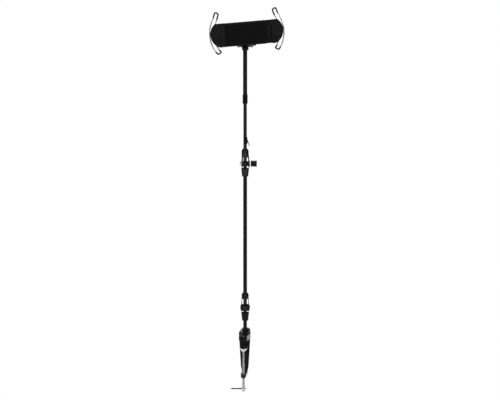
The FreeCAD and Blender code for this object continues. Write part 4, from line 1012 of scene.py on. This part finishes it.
@dataclass
class Cradle(SubAssembly):
    """Housing, fixed jaw, sliding jaw, claws and the springs that draw the jaw in.

    Lengths count from centre, a point on the swivel's axis, with the cradle drawn level.
    """

    finishes: ClassVar[dict[str, Finish]] = {
        "cradle_front": HOUSING_PLASTIC,
        "cradle_back": HOUSING_PLASTIC,
        "fixed_jaw": CAP_PLASTIC,
        "fixed_jaw_back": CAP_PLASTIC,
        "sliding_jaw": CAP_PLASTIC,
        "sliding_jaw_back": CAP_PLASTIC,
        "left_claw": CHROME,
        "right_claw": CHROME,
        "left_claw_sleeves": SLEEVE_RUBBER,
        "right_claw_sleeves": SLEEVE_RUBBER,
    }
    cover_screw: ClassVar[DrivenScrew] = DrivenScrew(
        head_radius=2.8 * MM, head_height=1.2 * MM, shank_radius=1.5 * MM, length=9.0 * MM,
        recess=Recess.CROSS, recess_reach=1.5 * MM, recess_depth=0.8 * MM)
    jaw_screw: ClassVar[DrivenScrew] = DrivenScrew(
        head_radius=2.4 * MM, head_height=1.0 * MM, shank_radius=1.3 * MM, length=8.0 * MM,
        recess=Recess.CROSS, recess_reach=1.3 * MM, recess_depth=0.7 * MM)
    centre: Vector = field(default_factory=lambda: Vector((4.022 * MM, 32.754 * MM, 786.7 * MM)))
    roll: float = 4.8
    back_face: float = 35.0 * MM
    cover_screw_xs: tuple[float, float] = (-43.0 * MM, -8.0 * MM)
    cover_screw_z: float = 23.6 * MM
    jaw_screw_z: float = 15.0 * MM
    fixed_jaw_screw_x: float = -65.6 * MM
    sliding_jaw_screw_x: float = 75.2 * MM
    spring_start: float = -43.2 * MM
    spring_length: float = 41.6 * MM
    spring_depth: float = 43.4 * MM
    spring_height: float = 9.0 * MM
    spring_radius: float = 2.5 * MM
    spring_wire: float = 0.45 * MM
    spring_turns: int = 30
    spring_steps: int = 14
    spring_sides: int = 8
    spring_smooth_angle: float = 60.0

    def build(self) -> None:
        """Dresses the CAD pieces and builds springs and screws."""
        super().build()
        self.place(self.springs(), "cradle", "steel", BRIGHT_STEEL, "return_springs")
        covers = [self.screw_place(x, side * self.cover_screw_z)
                  for x in self.cover_screw_xs for side in (-1, 1)]
        self.fasten(self.cover_screw.group("cover_cross_screws", covers), "cradle", "cover_screws")
        jaws = (("fixed_jaw_cross_screws", self.fixed_jaw_screw_x, "cradle", "fixed_jaw_screws"),
                ("sliding_jaw_cross_screws", self.sliding_jaw_screw_x, "jaw", "sliding_jaw_screws"))
        for name, x, body, node in jaws:
            places = [self.screw_place(x, side * self.jaw_screw_z) for side in (1, -1)]
            self.fasten(self.jaw_screw.group(name, places), body, node)

    def level_frame(self) -> Matrix:
        """From the cradle drawn level about its swivel to where it stands."""
        return Matrix.Translation(self.centre) @ Matrix.Rotation(math.radians(-self.roll), 4, "Y")

    def screw_place(self, across: float, height: float) -> Matrix:
        """Placement of a screw that goes in from the back."""
        return self.level_frame() @ frame_along(Axis.FRONT, Vector((across, -self.back_face, height)))

    def springs(self) -> bpy.types.Object:
        """Two draw springs with a close coil.

        Returns:
            Both springs as one piece.
        """
        mesh = bmesh.new()
        steps = self.spring_turns * self.spring_steps
        for side in (-1, 1):
            path = []
            for step in range(steps + 1):
                angle = FULL_TURN * step / self.spring_steps
                across = self.spring_start + self.spring_length * step / steps
                depth = -self.spring_depth + self.spring_radius * math.cos(angle)
                height = side * self.spring_height + self.spring_radius * math.sin(angle)
                path.append(self.level_frame() @ Vector((across, depth, height)))
            sweep(mesh, path, self.spring_wire, self.spring_sides)
        return as_object("jaw_return_springs", mesh, self.spring_smooth_angle)


# Light, floor and camera


@dataclass
class PhotoCamera:
    """Level camera in front of the arm."""

    place: Triple = (16.7 * MM, -2367.2 * MM, 361.4 * MM)
    field_of_view: float = 30.31
    nearest: float = 0.05
    farthest: float = 100.0

    def build(self) -> None:
        """Makes the camera the scene's own."""
        data = bpy.data.cameras.new("front_camera")
        data.sensor_fit = "HORIZONTAL"
        data.angle = math.radians(self.field_of_view)
        data.clip_start = self.nearest
        data.clip_end = self.farthest
        camera = bpy.data.objects.new("front_camera", data)
        camera.location = self.place
        camera.rotation_euler = (math.pi / 2, 0, 0)
        bpy.context.scene.collection.objects.link(camera)
        bpy.context.scene.camera = camera


@dataclass
class SoftBox:
    """A rectangular studio lamp that looks at a point."""

    name: str
    place: Triple
    width: float
    height: float
    power: float

    def build(self, target: Vector) -> None:
        """Hangs the lamp and turns it to the target."""
        data = bpy.data.lights.new(self.name, "AREA")
        data.shape = "RECTANGLE"
        data.size = self.width
        data.size_y = self.height
        data.energy = self.power
        lamp = bpy.data.objects.new(self.name, data)
        lamp.location = self.place
        lamp.rotation_euler = (target - Vector(self.place)).to_track_quat("-Z", "Y").to_euler()
        bpy.context.scene.collection.objects.link(lamp)


@dataclass
class Studio:
    """White surroundings, three soft boxes, a strip lamp and a pale floor well below the arm.

    The floor starts between the camera and the arm. One that came nearer to the camera would
    show white in the clamp's glossy face.
    """

    floor_height: float = -0.52
    floor_front: float = -1.3
    floor_half: float = 3.2
    floor_colour: Colour = (0.86, 0.86, 0.85)
    floor_glow: float = 0.86
    glow_near: float = 0.6
    glow_far: float = 2.2
    ambient: float = 0.7
    wall_gloss: float = 0.16
    white_from: float = 0.965
    white_to: float = 0.995
    target: Vector = field(default_factory=lambda: Vector((0.0, 0.0, 0.35)))
    lamps: tuple[SoftBox, ...] = (
        SoftBox("overhead_box", place=(-0.2, 0.4, 2.6), width=1.7, height=1.3, power=34.0),
        SoftBox("left_box", place=(-1.3, -1.9, 2.5), width=1.3, height=1.0, power=15.0),
        SoftBox("right_box", place=(1.4, -1.9, 2.3), width=1.3, height=1.0, power=11.0),
        SoftBox("front_strip", place=(0.05, -3.3, 0.6), width=0.3, height=1.7, power=9.0),
    )

    def build(self) -> None:
        """Builds world, floor and lamps."""
        self.world()
        self.floor()
        for lamp in self.lamps:
            lamp.build(self.target)
        bpy.context.scene.view_settings.view_transform = "Standard"

    @staticmethod
    def seen_directly(tree: Tree) -> Link:
        """1 for rays from the camera, reflections and clear pieces."""
        camera, glossy, clear = (tree.node("ShaderNodeLightPath", output=name)
                                 for name in ("Is Camera Ray", "Is Glossy Ray", "Is Transmission Ray"))
        return camera.at_least(glossy).at_least(clear)

    def world(self) -> None:
        """White to the camera. Reflections see that white behind the arm, and dim walls all round."""
        world = bpy.data.worlds.new("white_room")
        bpy.context.scene.world = world
        world.use_nodes = True
        tree = Tree(world.node_tree)
        direction = tree.node("ShaderNodeTexCoord", output="Generated")
        depth = tree.node("ShaderNodeSeparateXYZ", {}, {0: direction}, output="Y")
        camera = tree.node("ShaderNodeLightPath", output="Is Camera Ray")
        gloss = self.wall_gloss + (1 - self.wall_gloss) * depth.between(self.white_from, self.white_to)
        reflected = gloss.at_least(camera)
        seen = self.seen_directly(tree)
        strength = seen * reflected + (1 - seen) * self.ambient
        background = tree.node("ShaderNodeBackground", {}, {"Color": WHITE, "Strength": strength})
        output = tree.tree.nodes.new("ShaderNodeOutputWorld")
        tree.feed(output.inputs["Surface"], background)

    def floor(self) -> None:
        """Pale floor that shows white and keeps the arm's shadow."""
        mesh = bmesh.new()
        middle = Vector((0.0, self.floor_front + self.floor_half, self.floor_height))
        bmesh.ops.create_grid(mesh, x_segments=1, y_segments=1, size=self.floor_half,
                              matrix=Matrix.Translation(middle))
        floor = as_object("studio_floor", mesh)
        material = bpy.data.materials.new("studio_floor")
        material.use_nodes = True
        tree = Tree(material.node_tree)
        matt = tree.node("ShaderNodeBsdfDiffuse", {}, {"Color": self.floor_colour})
        glow = tree.node("ShaderNodeEmission", {}, {"Color": WHITE})
        place = tree.node("ShaderNodeTexCoord", output="Object")
        away = tree.node("ShaderNodeVectorMath", {"operation": "LENGTH"}, {0: place}, output="Value")
        share = self.floor_glow + (1 - self.floor_glow) * away.between(self.glow_near, self.glow_far)
        mix = tree.node("ShaderNodeMixShader", {}, {0: self.seen_directly(tree) * share, 1: matt, 2: glow})
        output = tree.tree.nodes.new("ShaderNodeOutputMaterial")
        tree.feed(output.inputs["Surface"], mix)
        floor.data.materials.append(material)


def main() -> None:
    """Loads the frame and builds the camera, the studio and the assemblies in order."""
    logging.basicConfig(level=logging.INFO, format="%(name)s: %(message)s")
    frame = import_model()
    bpy.context.view_layer.update()
    PhotoCamera().build()
    Studio().build()
    for kind in (DeskClamp, PressureScrew, SwivelPost, Arm, TiltHead, Cradle):
        kind(frame).build()
    bpy.context.view_layer.update()


if __name__ == "__main__":
    main()
